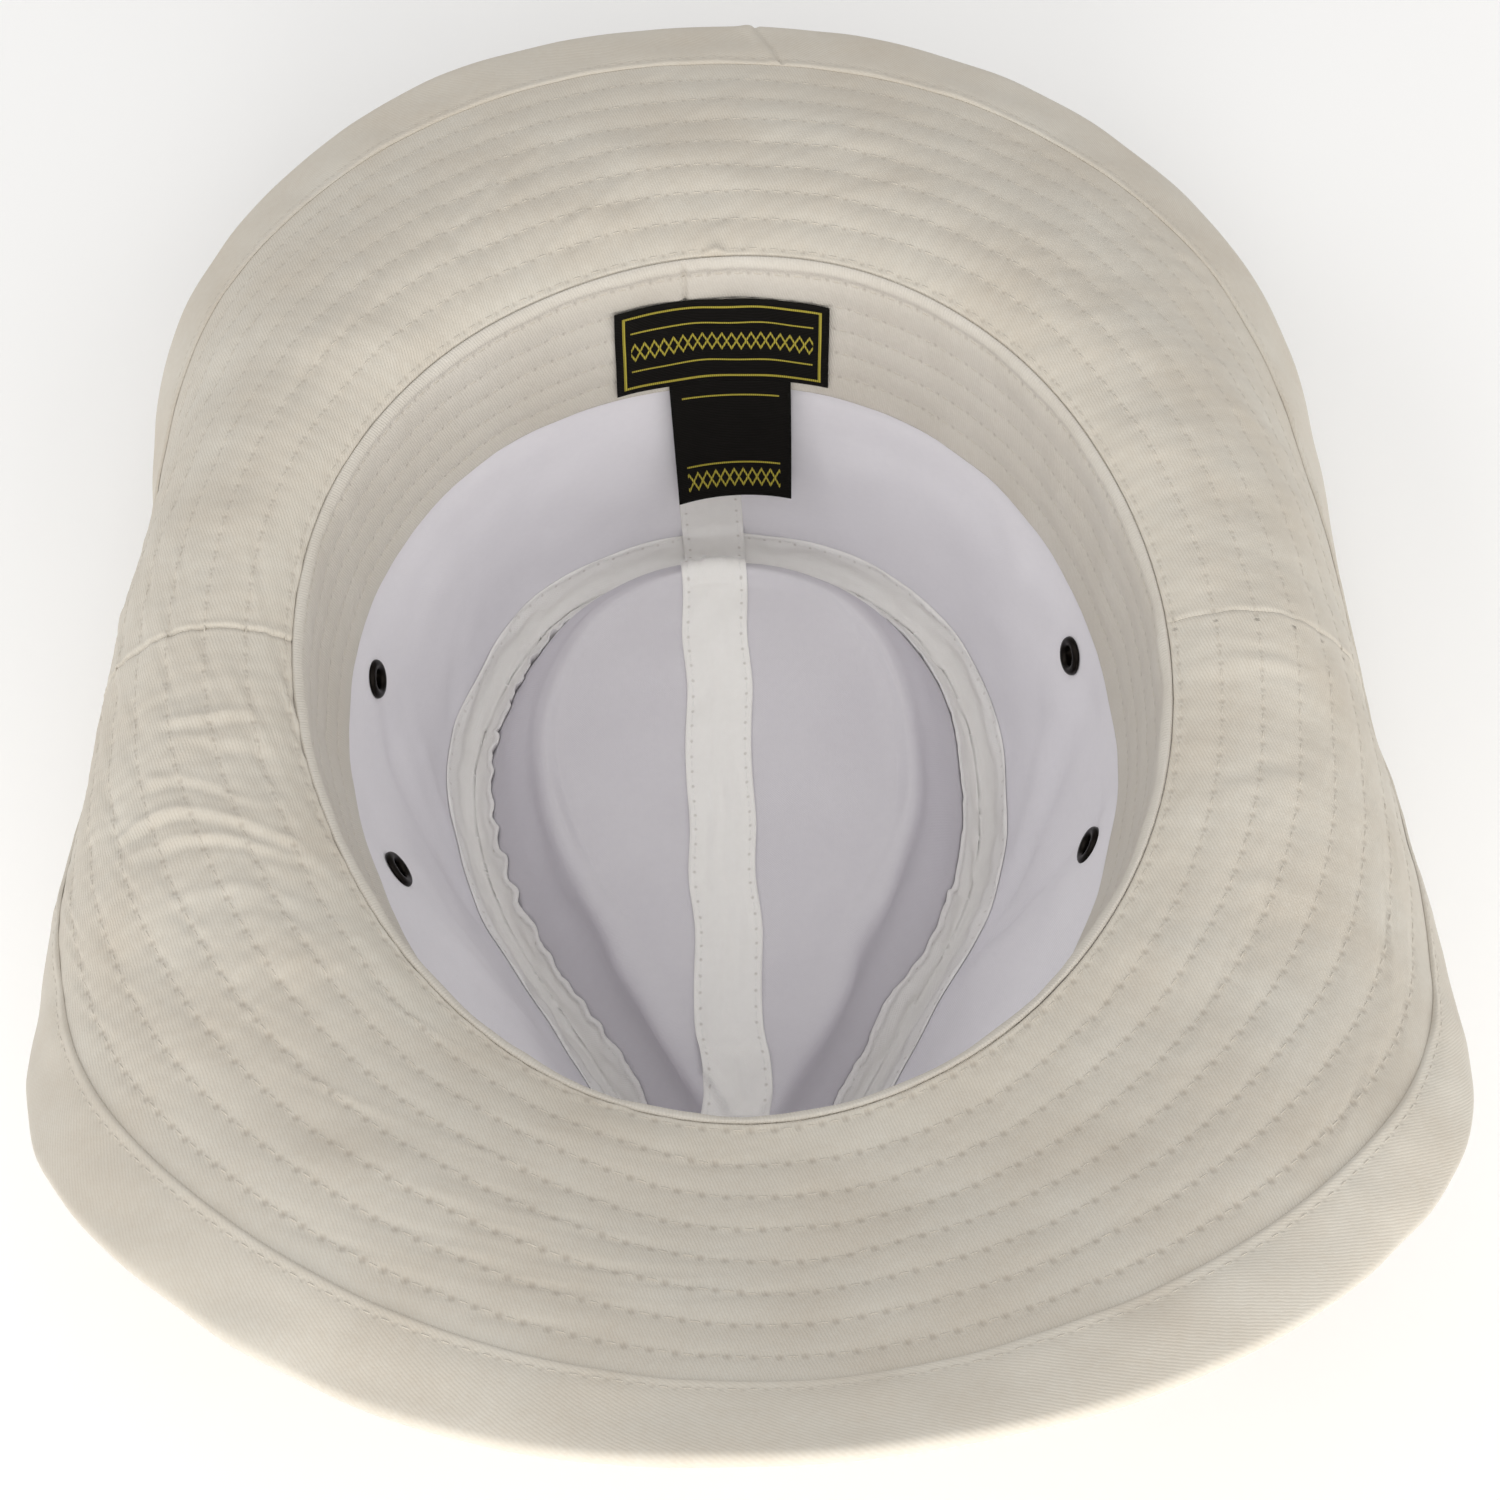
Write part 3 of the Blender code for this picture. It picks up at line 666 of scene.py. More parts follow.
def yarn_ridges(tree, place, direction, spacing, wobble):
    """Sine of the distance across yarns that lie side by side in the cloth's own plane, a little uneven."""
    across = add(tree, "VectorMath", {0: place, 1: direction}, "Value", operation="DOT_PRODUCT")
    drifted = add(tree, "Math", {0: wobble, 1: spacing * 0.9, 2: across}, operation="MULTIPLY_ADD")
    turns = add(tree, "Math", {0: drifted, 1: 2 * pi / spacing}, operation="MULTIPLY")
    return add(tree, "Math", {0: turns}, operation="SINE")


def needle_holes(tree, pitch, half_width, front_widening):
    """How much of a needle hole each place is, from 0 to 1, which sinks the hole and carries its painted shade.
    The stitch map holds stitches along the nearest row and metres from it, and a hole lies at each whole
    stitch. Towards the hat's front the holes are drawn wider, up to the last argument's times as wide as at
    its back, and their pits and painted shade that much stronger."""
    row = add(tree, "UVMap", {}, uv_map="stitch")
    beat = add(tree, "Math", {0: add(tree, "SeparateXYZ", {0: row}, 0), 1: 0.5}, operation="PINGPONG")
    apart = add(tree, "SeparateXYZ", {0: row}, 1)
    ahead = add(tree, "Math", {0: beat, 1: pitch / half_width}, operation="MULTIPLY")
    aside = add(tree, "Math", {0: apart, 1: 1 / half_width}, operation="MULTIPLY")
    place = add(tree, "CombineXYZ", {0: ahead, 1: aside})
    away = add(tree, "VectorMath", {0: place}, "Value", operation="LENGTH")
    y = add(tree, "SeparateXYZ", {0: add(tree, "TexCoord", {}, "Object")}, 1)
    wide = add(tree, "MapRange", {0: y, 1: HOLES_WIDEST_AT, 2: HOLES_EVEN_AT, 3: front_widening, 4: 1.0}, clamp=True)
    near = add(tree, "Math", {0: away, 1: wide}, operation="DIVIDE")
    hole = add(tree, "MapRange", {0: near, 1: 0.05, 2: 1.15, 3: 1.0, 4: 0.0}, interpolation_type="SMOOTHSTEP")
    plain = add(tree, "Math", {0: hole, 1: wide}, operation="MULTIPLY")
    return add(tree, "Math", {0: plain, 1: front_widening}, operation="DIVIDE")


# Directions across yarns in the cloth's own plane, how long its slubs and its clouds of dye are, and how far
# back the needle holes are drawn widest, with their painted shade strongest, and where they are even
TWILL_ACROSS = (0.958, 0.287, 0.0)
ALONG_U, ALONG_V = (1.0, 0.0, 0.0), (0.0, 1.0, 0.0)
SLUB_LENGTH = 0.0016
CLOUD_LENGTH = 0.024
HOLES_WIDEST_AT = -0.11
HOLES_EVEN_AT = 0.01


def woven(name, base, shade, light, twill, spacing, depth, ridge_painted_shade, holes=None, **values):
    """A woven cotton cloth. twill gives it fine steep diagonal ridges, and otherwise its yarns go over and
    under both ways. spacing is the ridge spacing and depth the height of the weave, in metres, and the value
    after them how much the ridges' relief is painted into the colour: painted shade in their hollows and
    painted light on their tops. holes gives its needle holes: how far apart they lie, their half width, the
    painted shade in them and their depth, and how many times as wide they are drawn at the hat's front, where
    their pits and painted shade are stronger."""
    material, tree, shader = blank(name, Sheen_Roughness=0.5, Specular_IOR_Level=0.25, **values)
    place = add(tree, "UVMap", {}, uv_map="cloth")
    slub = {"Vector": place, "Scale": 1 / SLUB_LENGTH, "Detail": 3.0, "Roughness": 0.6}
    slub = add(tree, "TexNoise", slub, "Fac")
    cloud = add(tree, "TexNoise", {"Vector": place, "Scale": 1 / CLOUD_LENGTH, "Detail": 2.0}, "Fac")
    wobble = add(tree, "Math", {0: slub, 1: 0.5}, operation="SUBTRACT")
    if twill:
        ridges = yarn_ridges(tree, place, TWILL_ACROSS, spacing, wobble)
        floats = yarn_ridges(tree, place, (TWILL_ACROSS[1], TWILL_ACROSS[0], 0.0), spacing * 1.1, wobble)
        relief = add(tree, "Math", {0: floats, 1: 0.15, 2: ridges}, operation="MULTIPLY_ADD")
    else:
        warp = yarn_ridges(tree, place, ALONG_U, spacing, wobble)
        weft = yarn_ridges(tree, place, ALONG_V, spacing, wobble)
        relief = add(tree, "Math", {0: warp, 1: weft}, operation="MULTIPLY")
    # Tone: the dye's clouds and slubs, and the ridges' relief as painted shade in their hollows and painted light on
    # their tops
    tone = add(tree, "Math", {0: relief, 1: ridge_painted_shade, 2: cloud}, operation="MULTIPLY_ADD")
    tone = add(tree, "Math", {0: wobble, 1: 0.5, 2: tone}, operation="MULTIPLY_ADD")
    share = add(tree, "MapRange", {0: tone, 1: 0.1, 2: 0.9, 3: 0.0, 4: 1.0}, clamp=True)
    tint = add(tree, "Mix", {0: share, 6: colour(shade), 7: colour(light)}, 2, data_type="RGBA")
    tint = add(tree, "Mix", {0: 0.4, 6: tint, 7: colour(base)}, 2, data_type="RGBA")
    height = add(tree, "Math", {0: relief, 1: 0.5, 2: wobble}, operation="MULTIPLY_ADD")
    if holes:
        pitch, half_width, dark, pit, front_widening = holes
        hole = needle_holes(tree, pitch, half_width, front_widening)
        # Painted shade in the needle holes: their colour is drawn towards a deep brown, besides the real pit below
        hole_painted_shade = add(tree, "Math", {0: hole, 1: dark}, operation="MULTIPLY")
        tint = add(tree, "Mix", {0: hole_painted_shade, 6: tint, 7: colour(shade, 0.36, 0.30, 0.25)}, 2, data_type="RGBA")
        height = add(tree, "Math", {0: hole, 1: -pit / depth, 2: height}, operation="MULTIPLY_ADD")
    tree.links.new(tint, shader.inputs["Base Color"])
    bump = add(tree, "Bump", {"Strength": 1.0, "Distance": depth, "Height": height})
    tree.links.new(bump, shader.inputs["Normal"])
    return material


# Base, darker and lighter tones of the dye, which its clouds and slubs, and the painted shade and light of the
# weave's ridges, mix between. For each weave: whether it is a twill, and the spacing, height and painted
# shade of its ridges
PUTTY = ("#CCC5B9", "#C3B8A8", "#D7D4CB")
TWILL_SPACING = 0.00058
TWILL_WEAVE = (True, TWILL_SPACING, 0.00004, 0.11)
LINING_WEAVE = (False, 0.0005, 0.00002, 0.05)
WASHED = {"Roughness": 0.92, "Sheen_Weight": 0.12}
BLEACHED = {"Roughness": 0.85, "Sheen_Weight": 0.05}

# Garment-washed cotton twill: steep diagonal ridges under a soft, faintly uneven putty dye, and needle holes
# that the wash has drawn round and soft, with painted shade in them. The ridges are 0.45 mm apart on the
# cloth, and are drawn 0.58 mm apart to show at the render's size.
# Each holes tuple: stitch length, half width, painted shade in the holes, pit depth and front widening.
holes = (STITCH_PITCH, 0.00065, 0.26, 0.00012, 1.5)
TWILL = woven("garment_washed_cotton_twill", *PUTTY, *TWILL_WEAVE, holes, **WASHED)
# The same twill on the sweatband, sewn with a finer needle, so its rows hardly show.
holes = (STITCH_PITCH, 0.00060, 0.20, 0.00012, 1.0)
tones = ("#CDC7BE", "#C5BEB2", "#D8D4CC")
BAND_TWILL = woven("row_stitched_band_twill", *tones, True, TWILL_SPACING, 0.00005, 0.14, holes, **WASHED)
# The same twill cut on the bias for the binding, pulled smooth over the edge.
holes = (BINDING_PITCH, 0.00060, 0.10, 0.00008, 1.0)
BIAS_TWILL = woven("bias_cut_twill_binding", *PUTTY, True, TWILL_SPACING, 0.000025, 0.07, holes, **WASHED)
# The same twill outside the crown, with no rows across it.
PLAIN_TWILL = woven("garment_washed_crown_twill", *PUTTY, *TWILL_WEAVE, **WASHED)
# Bleached cotton lining in plain weave, calendered smooth: cool white with hardly any texture.
LINING = woven("bleached_cotton_lining", "#ECEAEF", "#E5E3E9", "#F1EFF4", *LINING_WEAVE, **BLEACHED)
# The tip's piece of the same lining, its colour a little darker and greyer: painted shade for the deep hollow of the
# dent.
SHADED_TIP_LINING = woven("bleached_cotton_tip_lining_painted_shade", "#D6D3D9", "#CFCCD3", "#DCDADF", *LINING_WEAVE, **BLEACHED)
# Cotton seam tape, woven narrow with a fine rib: warmer and whiter than the lining, and closer in weave.
holes = (TAPE_PITCH, 0.00045, 0.36, 0.00012, 1.0)
tones, sheen = ("#F5F3F1", "#EDEBE8", "#FAF9F7"), {"Roughness": 0.88, "Sheen_Weight": 0.06}
TAPE = woven("ribbed_cotton_seam_tape", *tones, False, 0.0006, 0.00004, 0.06, holes, **sheen)


def spun_thread(name, code):
    """Spun cotton sewing thread, too fine for its twist to show: an even matt colour, a little mottled."""
    material, tree, shader = blank(name, Roughness=0.85, Sheen_Weight=0.1, Specular_IOR_Level=0.3)
    place = add(tree, "TexCoord", {}, "Object")
    grain = add(tree, "TexNoise", {"Vector": place, "Scale": 1 / 0.0011, "Detail": 2.0}, "Fac")
    dark, light = (colour(code, k, k, k) for k in (0.85, 1.12))
    tint = add(tree, "Mix", {0: grain, 6: dark, 7: light}, 2, data_type="RGBA")
    tree.links.new(tint, shader.inputs["Base Color"])
    return material


PUTTY_THREAD = spun_thread("spun_cotton_thread_putty", "#CCC5B9")
WHITE_THREAD = spun_thread("spun_cotton_thread_white", "#F2F1EF")

# Labels: spacing of the ground's ribs, half width and half height of a lozenge, and half widths of the lines
LABEL_RIB = 0.00045
LOZENGE = 0.0021
LOZENGE_LINE = 0.00045
RULE_LINE = 0.00022
BORDER_LINE = 0.00030


def woven_label(name, half_width, half_height, chain, rules, inset):
    """A damask-woven polyester label: black satin ground with fine ribs, and gold figure thread for a border
    line, a chain of lozenges and plain rules. Places are metres from the label's middle, v upwards. chain
    is the height of the chain's middle, rules the height of each rule, and inset the border's distance from
    the edge, which is less than nought for none."""
    material, tree, shader = blank(name, Roughness=0.7, Specular_IOR_Level=0.1)
    place = add(tree, "UVMap", {}, uv_map="cloth")
    u, v = (add(tree, "SeparateXYZ", {0: place}, k) for k in (0, 1))
    rib, pick = (yarn_ridges(tree, place, way, LABEL_RIB, 0.0) for way in (ALONG_V, ALONG_U))
    gaps = []
    for half, from_middle in ((half_width, u), (half_height, v)):
        away = add(tree, "Math", {0: from_middle}, operation="ABSOLUTE")
        gaps.append(add(tree, "Math", {0: half, 1: away}, operation="SUBTRACT"))
    edge = add(tree, "Math", {0: gaps[0], 1: gaps[1]}, operation="MINIMUM")
    figure = add(tree, "Math", {0: edge, 1: inset, 2: BORDER_LINE}, operation="COMPARE")
    inside = add(tree, "Math", {0: edge, 1: max(inset, 0.0014) * 1.8}, operation="GREATER_THAN")
    zigzag = add(tree, "Math", {0: u, 1: LOZENGE}, operation="PINGPONG")
    swing = add(tree, "Math", {0: zigzag, 1: 2.0, 2: -LOZENGE}, operation="MULTIPLY_ADD")
    lines = []
    for sense in (1.0, -1.0):
        line = add(tree, "Math", {0: swing, 1: sense, 2: chain}, operation="MULTIPLY_ADD")
        lines.append(add(tree, "Math", {0: v, 1: line, 2: LOZENGE_LINE}, operation="COMPARE"))
    for middle in rules:
        lines.append(add(tree, "Math", {0: v, 1: middle, 2: RULE_LINE}, operation="COMPARE"))
    for line in lines:
        shown = add(tree, "Math", {0: line, 1: inside}, operation="MULTIPLY")
        figure = add(tree, "Math", {0: figure, 1: shown}, operation="MAXIMUM")
    tints = []
    yarns = ((rib, 0.25, 0.5, "#080706", "#14120F"), (pick, 0.4, 0.6, "#6F6526", "#BDB04A"))
    for yarn, gain, level, dark, light in yarns:
        shading = add(tree, "Math", {0: yarn, 1: gain, 2: level}, operation="MULTIPLY_ADD")
        tints.append(add(tree, "Mix", {0: shading, 6: colour(dark), 7: colour(light)}, 2, data_type="RGBA"))
    tint = add(tree, "Mix", {0: figure, 6: tints[0], 7: tints[1]}, 2, data_type="RGBA")
    tree.links.new(tint, shader.inputs["Base Color"])
    weave = add(tree, "Math", {0: rib, 1: 0.4, 2: figure}, operation="MULTIPLY_ADD")
    bump = add(tree, "Bump", {"Strength": 1.0, "Distance": 0.00007, "Height": weave})
    tree.links.new(bump, shader.inputs["Normal"])
    return material


def blackened_brass():
    """Brass turned and blackened in a salt bath: near black, satin, a little browner where it is handled."""
    material, tree, shader = blank("blackened_brass", Roughness=0.35, Metallic=1.0)
    place = add(tree, "TexCoord", {}, "Object")
    wear = add(tree, "TexNoise", {"Vector": place, "Scale": 1 / 0.0012, "Detail": 4.0}, "Fac")
    tint = add(tree, "Mix", {0: wear, 6: colour("#131110"), 7: colour("#2A2623")}, 2, data_type="RGBA")
    tree.links.new(tint, shader.inputs["Base Color"])
    return material


halves = (LABEL_WIDTH / 2, LABEL_HEIGHT / 2)
MAIN_LABEL = woven_label("damask_woven_label_black", *halves, 0.0, (0.0052, -0.0052), 0.0018)
halves = (CARE_WIDTH / 2, CARE_HEIGHT / 2)
CARE_LABEL = woven_label("plain_woven_label_black", *halves, -0.0108, (0.0116, -0.0068), -1.0)
BRASS = blackened_brass()

# Brim

FULL_TURN = np.arange(0.0, 360.01, 0.25)
BRIM_ROW_PATHS = brim(FULL_TURN, BRIM_STITCH_ROWS)
BRIM_ROW_PHASES = np.stack([stitch_phase(path, STITCH_PITCH) for path in np.moveaxis(BRIM_ROW_PATHS, 1, 0)], 1)
BRIM_ROW_PHASES += BRIM_ROW_LAG * np.arange(len(BRIM_STITCH_ROWS))
LUMP_AZIMUTH = 89.5
BACK_STATIONS = 380
FRONT_STATIONS = 330
# Closer stations for the creased left of the front half
CREASED_PART = np.arange(181.0, 222.0, 0.26)


def row_phases(azimuth):
    """Stitches before each azimuth on each row of the brim."""
    return np.stack([np.interp(azimuth % 360.0, FULL_TURN, phase) for phase in BRIM_ROW_PHASES.T], 1)


def quilting(azimuth, distances):
    """Relief of the row-stitched brim. Each row is a soft valley that dips at each needle hole, the cloth
    between rows puffs up, and gathers run out from the rows."""
    u = radians(1) * azimuth[:, None] * (HEAD_HALF_WIDTH + distances)
    patchy = 0.8 + 0.5 * ripple(u, distances, 0.030, 5)
    gather = ripple(u, distances * 0.22, 0.0062, 6) + 0.7 * ripple(u, distances * 0.2, 0.0110, 7)
    gaps = abs(distances[:, None] - BRIM_STITCH_ROWS)
    gap = gaps.min(1)
    dips = np.cos(2 * pi * row_phases(azimuth)[:, gaps.argmin(1)])
    gather = patchy * gather * (0.6 + 0.5 * bell(between_angles(azimuth, 190), 60))[:, None]
    return 0.00014 * gather * bell(gap, 0.0042) - 0.00006 * dips * bell(gap, 0.0034) - 0.00030 * bell(gap, 0.0016)


def half_stations(start, end, count):
    """Stations of a half, closer together towards its two seams."""
    near = np.array([0.0, 0.10, 0.22, 0.38, 0.60, 0.88])
    return np.concatenate([start + near, np.linspace(start + 1.2, end - 1.2, count), end - near[::-1]])


def across_brim():
    """Distances from the root with close columns at each stitch row, out to under the binding."""
    start = np.array([0.0, 0.0003, 0.0007, 0.0011, 0.0016, 0.0022, 0.0030, 0.0042, 0.0056])
    end = np.array([BRIM_INNER - 0.0020, BRIM_INNER + 0.001, BRIM_INNER + 0.005, BRIM_WIDTH - 0.0022])
    near = np.array([-0.0025, -0.0015, -0.0007, 0.0, 0.0007, 0.0015, 0.0025, 0.00375])
    rows = (BRIM_STITCH_ROWS[1:, None] + near).ravel()[:-1]
    return np.unique(np.concatenate([start, rows, end]).round(6))


def make_brim():
    """Two halves joined at seams over the ears. Each seam is a fine valley beside a raised edge, where the
    turned cloth lies double under the back half, and the right one is pressed flatter. A small lump of
    thread lies on the root at the centre back."""
    distances = across_brim()
    back = half_stations(SEAM_RIGHT, SEAM_LEFT, BACK_STATIONS)
    front = np.append(half_stations(SEAM_LEFT, SEAM_RIGHT + 360, FRONT_STATIONS), CREASED_PART)
    for name, azimuth, raised_edge in (("brim_back", back, 0.00014), ("brim_front", front, 0.00004)):
        azimuth = thinned(azimuth, 0.08)
        to_seam = to_ends(azimuth, HEAD_HALF_WIDTH + distances)
        seam = raised_edge * bell(to_seam - 0.0009, 0.0006) - 0.0004 * bell(to_seam, 0.0004)
        seam = seam * (1 - 0.55 * bell(between_angles(azimuth, SEAM_RIGHT), 50))[:, None]
        lump = 0.0014 * bell(way_round(azimuth, LUMP_AZIMUTH), 0.0023) * bell(distances - 0.0008, 0.0016)
        relief = quilting(azimuth, distances) + seam + lump
        middle = brim(azimuth, distances)
        down = normals(middle)
        lie = brim_lie(azimuth, distances)
        thick = (BRIM_CLOTH / 2 + relief) * round_edge(distances, HEM_RADIUS)
        under, upper = (middle + down * level[..., None] for level in (thick - lie, -thick - lie))
        stitches = stitch_map(distances, BRIM_STITCH_ROWS, row_phases(azimuth))
        maps = {"cloth": flat_brim(azimuth, distances), "stitch": stitches}
        shell(name + "_cloth", under, upper, TWILL, [name], maps=maps)


def brim_threads():
    """Threads along the brim's rows, on both of its faces. Under it the row at the root is left off."""
    lie = brim_lie(FULL_TURN, BRIM_STITCH_ROWS)
    relief = quilting(FULL_TURN, BRIM_STITCH_ROWS)
    beside = brim(FULL_TURN, BRIM_STITCH_ROWS + ASIDE)
    for name, side, first in (("stitches_brim_upper", -1, 0), ("stitches_brim_under", 1, 1)):
        runs = []
        for k in range(first, len(BRIM_STITCH_ROWS)):
            path = BRIM_ROW_PATHS[:, k]
            down = normals(np.stack([path, beside[:, k]], 1))[:, 0]
            level = side * (BRIM_CLOTH / 2 + relief[:, k] - ROW_SUNK) - lie[:, k]
            runs.append(thread_run(path + down * level[:, None], down * side, BRIM_ROW_PHASES[:, k]))
        threads(name, runs, PUTTY_THREAD)


def close_stations(count, start, end):
    """Even azimuths all the way round, and close ones from start to end, where a seam crosses the cloth."""
    azimuth = np.arange(count) * 360 / count
    return np.sort(np.append(azimuth[(azimuth < start) | (azimuth > end)], np.arange(start, end, 0.12)))


# Binding

JOIN_INNER = 83.5
JOIN_OUTER = 86.2
BINDING_STATIONS = 600
# Cosine of the angle at which the bias tape is cut across its yarns
BIAS = 0.7071


def binding_course(azimuth):
    """The course of the binding over the brim's edge, from its under edge round to its upper one: the brim
    point beside each place, the direction the tape stands off it, the distance along the tape, and the
    distance from the brim's root."""
    stand = BRIM_CLOTH / 2 + TOUCH
    width = BINDING_WIDTH - stand - BINDING_CLOTH
    inset = np.array([0.0, 0.0003, 0.0007, 0.0013, BINDING_STITCH, 0.0028, 0.0038, 0.0052])
    inset = np.append(inset, np.linspace(0.007, width, 6))
    bend = np.linspace(0, pi, 9)[1:-1]
    angle = np.concatenate([np.zeros(len(inset)), bend, np.full(len(inset), pi)])
    tape = np.concatenate([inset, inset[-1] + stand * bend, 2 * inset[-1] + stand * pi - inset[::-1]])
    pick = np.concatenate([np.arange(len(inset)), np.full(len(bend), len(inset) - 1), np.arange(len(inset))[::-1]])
    distances = BRIM_INNER + inset
    middle = brim(azimuth, distances)
    down = normals(middle, closed=True)
    outward = unit(np.gradient(middle, axis=1))
    middle = middle - down * brim_lie(azimuth, distances)[..., None]
    direction = down[:, pick] * np.cos(angle)[:, None] + outward[:, pick] * np.sin(angle)[:, None]
    return middle[:, pick], direction, tape, stand, distances[pick]


def make_binding():
    """A bias tape folded round the edge, topstitched near its fold, with a diagonal join near the centre back.
    It puckers at its stitches, and the join is a fine valley beside a low ridge."""
    azimuth = close_stations(BINDING_STATIONS, JOIN_INNER - 1.0, JOIN_OUTER + 1.2)
    base, direction, tape, stand, distances = binding_course(azimuth)
    seam_line = brim(np.append(azimuth, 360.0), np.array([BRIM_INNER]))[:, 0]
    arc = arc_length(seam_line)[:, None]
    phase = stitch_phase(seam_line, BINDING_PITCH)
    side_run = np.minimum(tape, tape[-1] - tape)
    pucker = ripple(arc[:-1], tape * 0.4, 0.0075, 21) * bell(side_run - 0.0040, 0.0042)
    swell = ripple(arc[:-1], tape * 2, 0.024, 22)
    relief = 0.00010 * pucker + 0.00012 * swell - 0.00018 * bell(side_run - BINDING_STITCH, 0.0009)
    share = np.clip((distances - BRIM_INNER) / BINDING_WIDTH, 0, 1)
    gap = way_round(azimuth, JOIN_INNER + (JOIN_OUTER - JOIN_INNER) * share, HEAD_HALF_LENGTH + BRIM_WIDTH)
    relief = relief - 0.00045 * bell(gap, 0.0006) + 0.00030 * bell(gap - 0.0018, 0.0016)
    full = round_edge(tape, FOLD_RADIUS)
    outer = base + direction * (stand + (BINDING_CLOTH + relief) * full)[..., None]
    inner = base + direction * stand
    stitches = stitch_map(side_run, np.array([BINDING_STITCH]), phase[:, None])
    maps = {"cloth": paired(arc + tape, tape - arc) * BIAS, "stitch": stitches}
    shell("brim_binding_tape", outer, inner, BIAS_TWILL, ["brim_binding"], closed=True, maps=maps)
    picks = [nearest(tape, place) for place in (BINDING_STITCH, tape[-1] - BINDING_STITCH)]
    runs = [thread_run(outer[:, k], direction[:, k], phase, sunk=ROW_SUNK) for k in picks]
    threads("stitches_binding", runs, PUTTY_THREAD)


# Crown

CROWN_HALVES = (("right", 1, -90.0), ("left", -1, 90.0))
SEAM_ROW = TAPE_WIDTH / 2 - TAPE_ROW_INSET
RIDGE_ANGLES = (12, 24, 36, 48, 60, 72, 82, 87)
# Depth below the eyelets where the even rows begin, how far a half stays from the middle seam, and how far
# the side's cloth stays from an eyelet's bore
BELOW_EYELETS = 0.060
SEAM_GAP = 0.00002
BORE_GAP = 0.0002
SIDE_STATIONS = 104
TIP_STATIONS = 86


def side_rows(azimuth):
    """The side from its top edge down to the foot, close together at the eyelets, and round the ridge, and
    how far it lies inwards there."""
    foot_depth = wall_foot(azimuth)[1]
    stops = [WALL_TOP, BAND_HEIGHT, EYELET_DEPTH - 0.005, EYELET_DEPTH + 0.005, BELOW_EYELETS]
    depths = [np.full_like(azimuth, depth) for depth in spaced(stops, [4, 5, 13, 4])]
    depths += [BELOW_EYELETS + (foot_depth - BELOW_EYELETS) * share for share in np.linspace(0, 1, 19)[1:]]
    rows = [wall(azimuth, depth) for depth in depths] + [ridge(azimuth, angle) for angle in RIDGE_ANGLES]
    lie = [side_lie(azimuth, depth) for depth in depths] + [np.zeros_like(azimuth)] * len(RIDGE_ANGLES)
    return np.stack(rows, 1), np.stack(lie, 1)


def side_stations(start):
    """Azimuths of a half of the side, close together at its seams and at its eyelets."""
    parts = [half_stations(start, start + 180, SIDE_STATIONS)]
    parts += [start + (middle - start) % 360 + np.arange(-9, 9.5) * 0.5 for middle in EYELETS.values()]
    azimuth = np.concatenate(parts)
    return thinned(azimuth[(azimuth >= start) & (azimuth <= start + 180)], 0.09)


def tip_rows(azimuth):
    """The tip from its crest down the slope, over the lip and in to the spine."""
    slope = np.append(CLEARANCE, np.linspace(0.05, 1.25, 28) * DENT_SLOPE_RUN)
    length = spine_length(azimuth)
    start = np.minimum(slope[-1], length)
    floor_rows = [start + (length - start) * share for share in np.linspace(0, 1, 15)[1:]]
    return np.stack([tip(azimuth, distance) for distance in (*slope, *floor_rows)], 1)


def cloth_places(grid):
    """A panel's own plane: the mean way round it, and the mean way down it."""
    ways = [np.linalg.norm(np.diff(grid, axis=axis), axis=-1).mean(1 - axis) for axis in (0, 1)]
    round_way, down_way = (np.append(0, np.cumsum(way)) for way in ways)
    return paired(round_way[:, None], down_way)


def eyelet_axis(azimuth):
    """Place and direction of an eyelet, on the side as it lies."""
    around = azimuth + np.array([-2.0, 0, 2.0])
    depths = EYELET_DEPTH + EYELET_RADIUS * np.array([-0.5, 0, 0.5])
    grid = np.stack([wall(around, np.full(3, depth)) for depth in depths], 1)
    inward = normals(grid)[1, 1]
    return grid[1, 1] + inward * side_lie(np.array([azimuth]), np.array([EYELET_DEPTH]))[0], inward


def clear_of_eyelets(grid):
    """Which cells of a side grid are outside the eyelets' barrels."""
    keep = np.ones((grid.shape[0] - 1, grid.shape[1] - 1), bool)
    for azimuth in EYELETS.values():
        far = np.linalg.norm(grid - eyelet_axis(azimuth)[0], axis=-1) > EYELET_BORE / 2 + BORE_GAP
        keep &= far[:-1, :-1] & far[1:, :-1] & far[:-1, 1:] & far[1:, 1:]
    return keep


def trimmed(grid, side):
    """Keeps a half of the crown on its own side of the middle seam."""
    grid = grid.copy()
    grid[..., 0] = side * np.maximum(side * grid[..., 0], SEAM_GAP)
    return grid


def make_panel(part, half, side, body, inward, far_in, far_out, flat, finish, keep=None):
    """One panel of a half of the crown: its lining and its twill, each from just beside the middle of the
    wall to its own face. far_in and far_out are how far from the middle those faces lie."""
    lining, *facings, cloth = (trimmed(body + inward * level, side) for level in (far_in, SKIN, -SKIN, -far_out))
    twill, maps = f"crown_{part}_{half}", {"cloth": flat}
    shell(f"lining_{part}_{half}", lining, facings[0], finish, maps=maps, keep=keep)
    shell(f"{twill}_cloth", facings[1], cloth, PLAIN_TWILL, [twill], maps=maps, keep=keep)


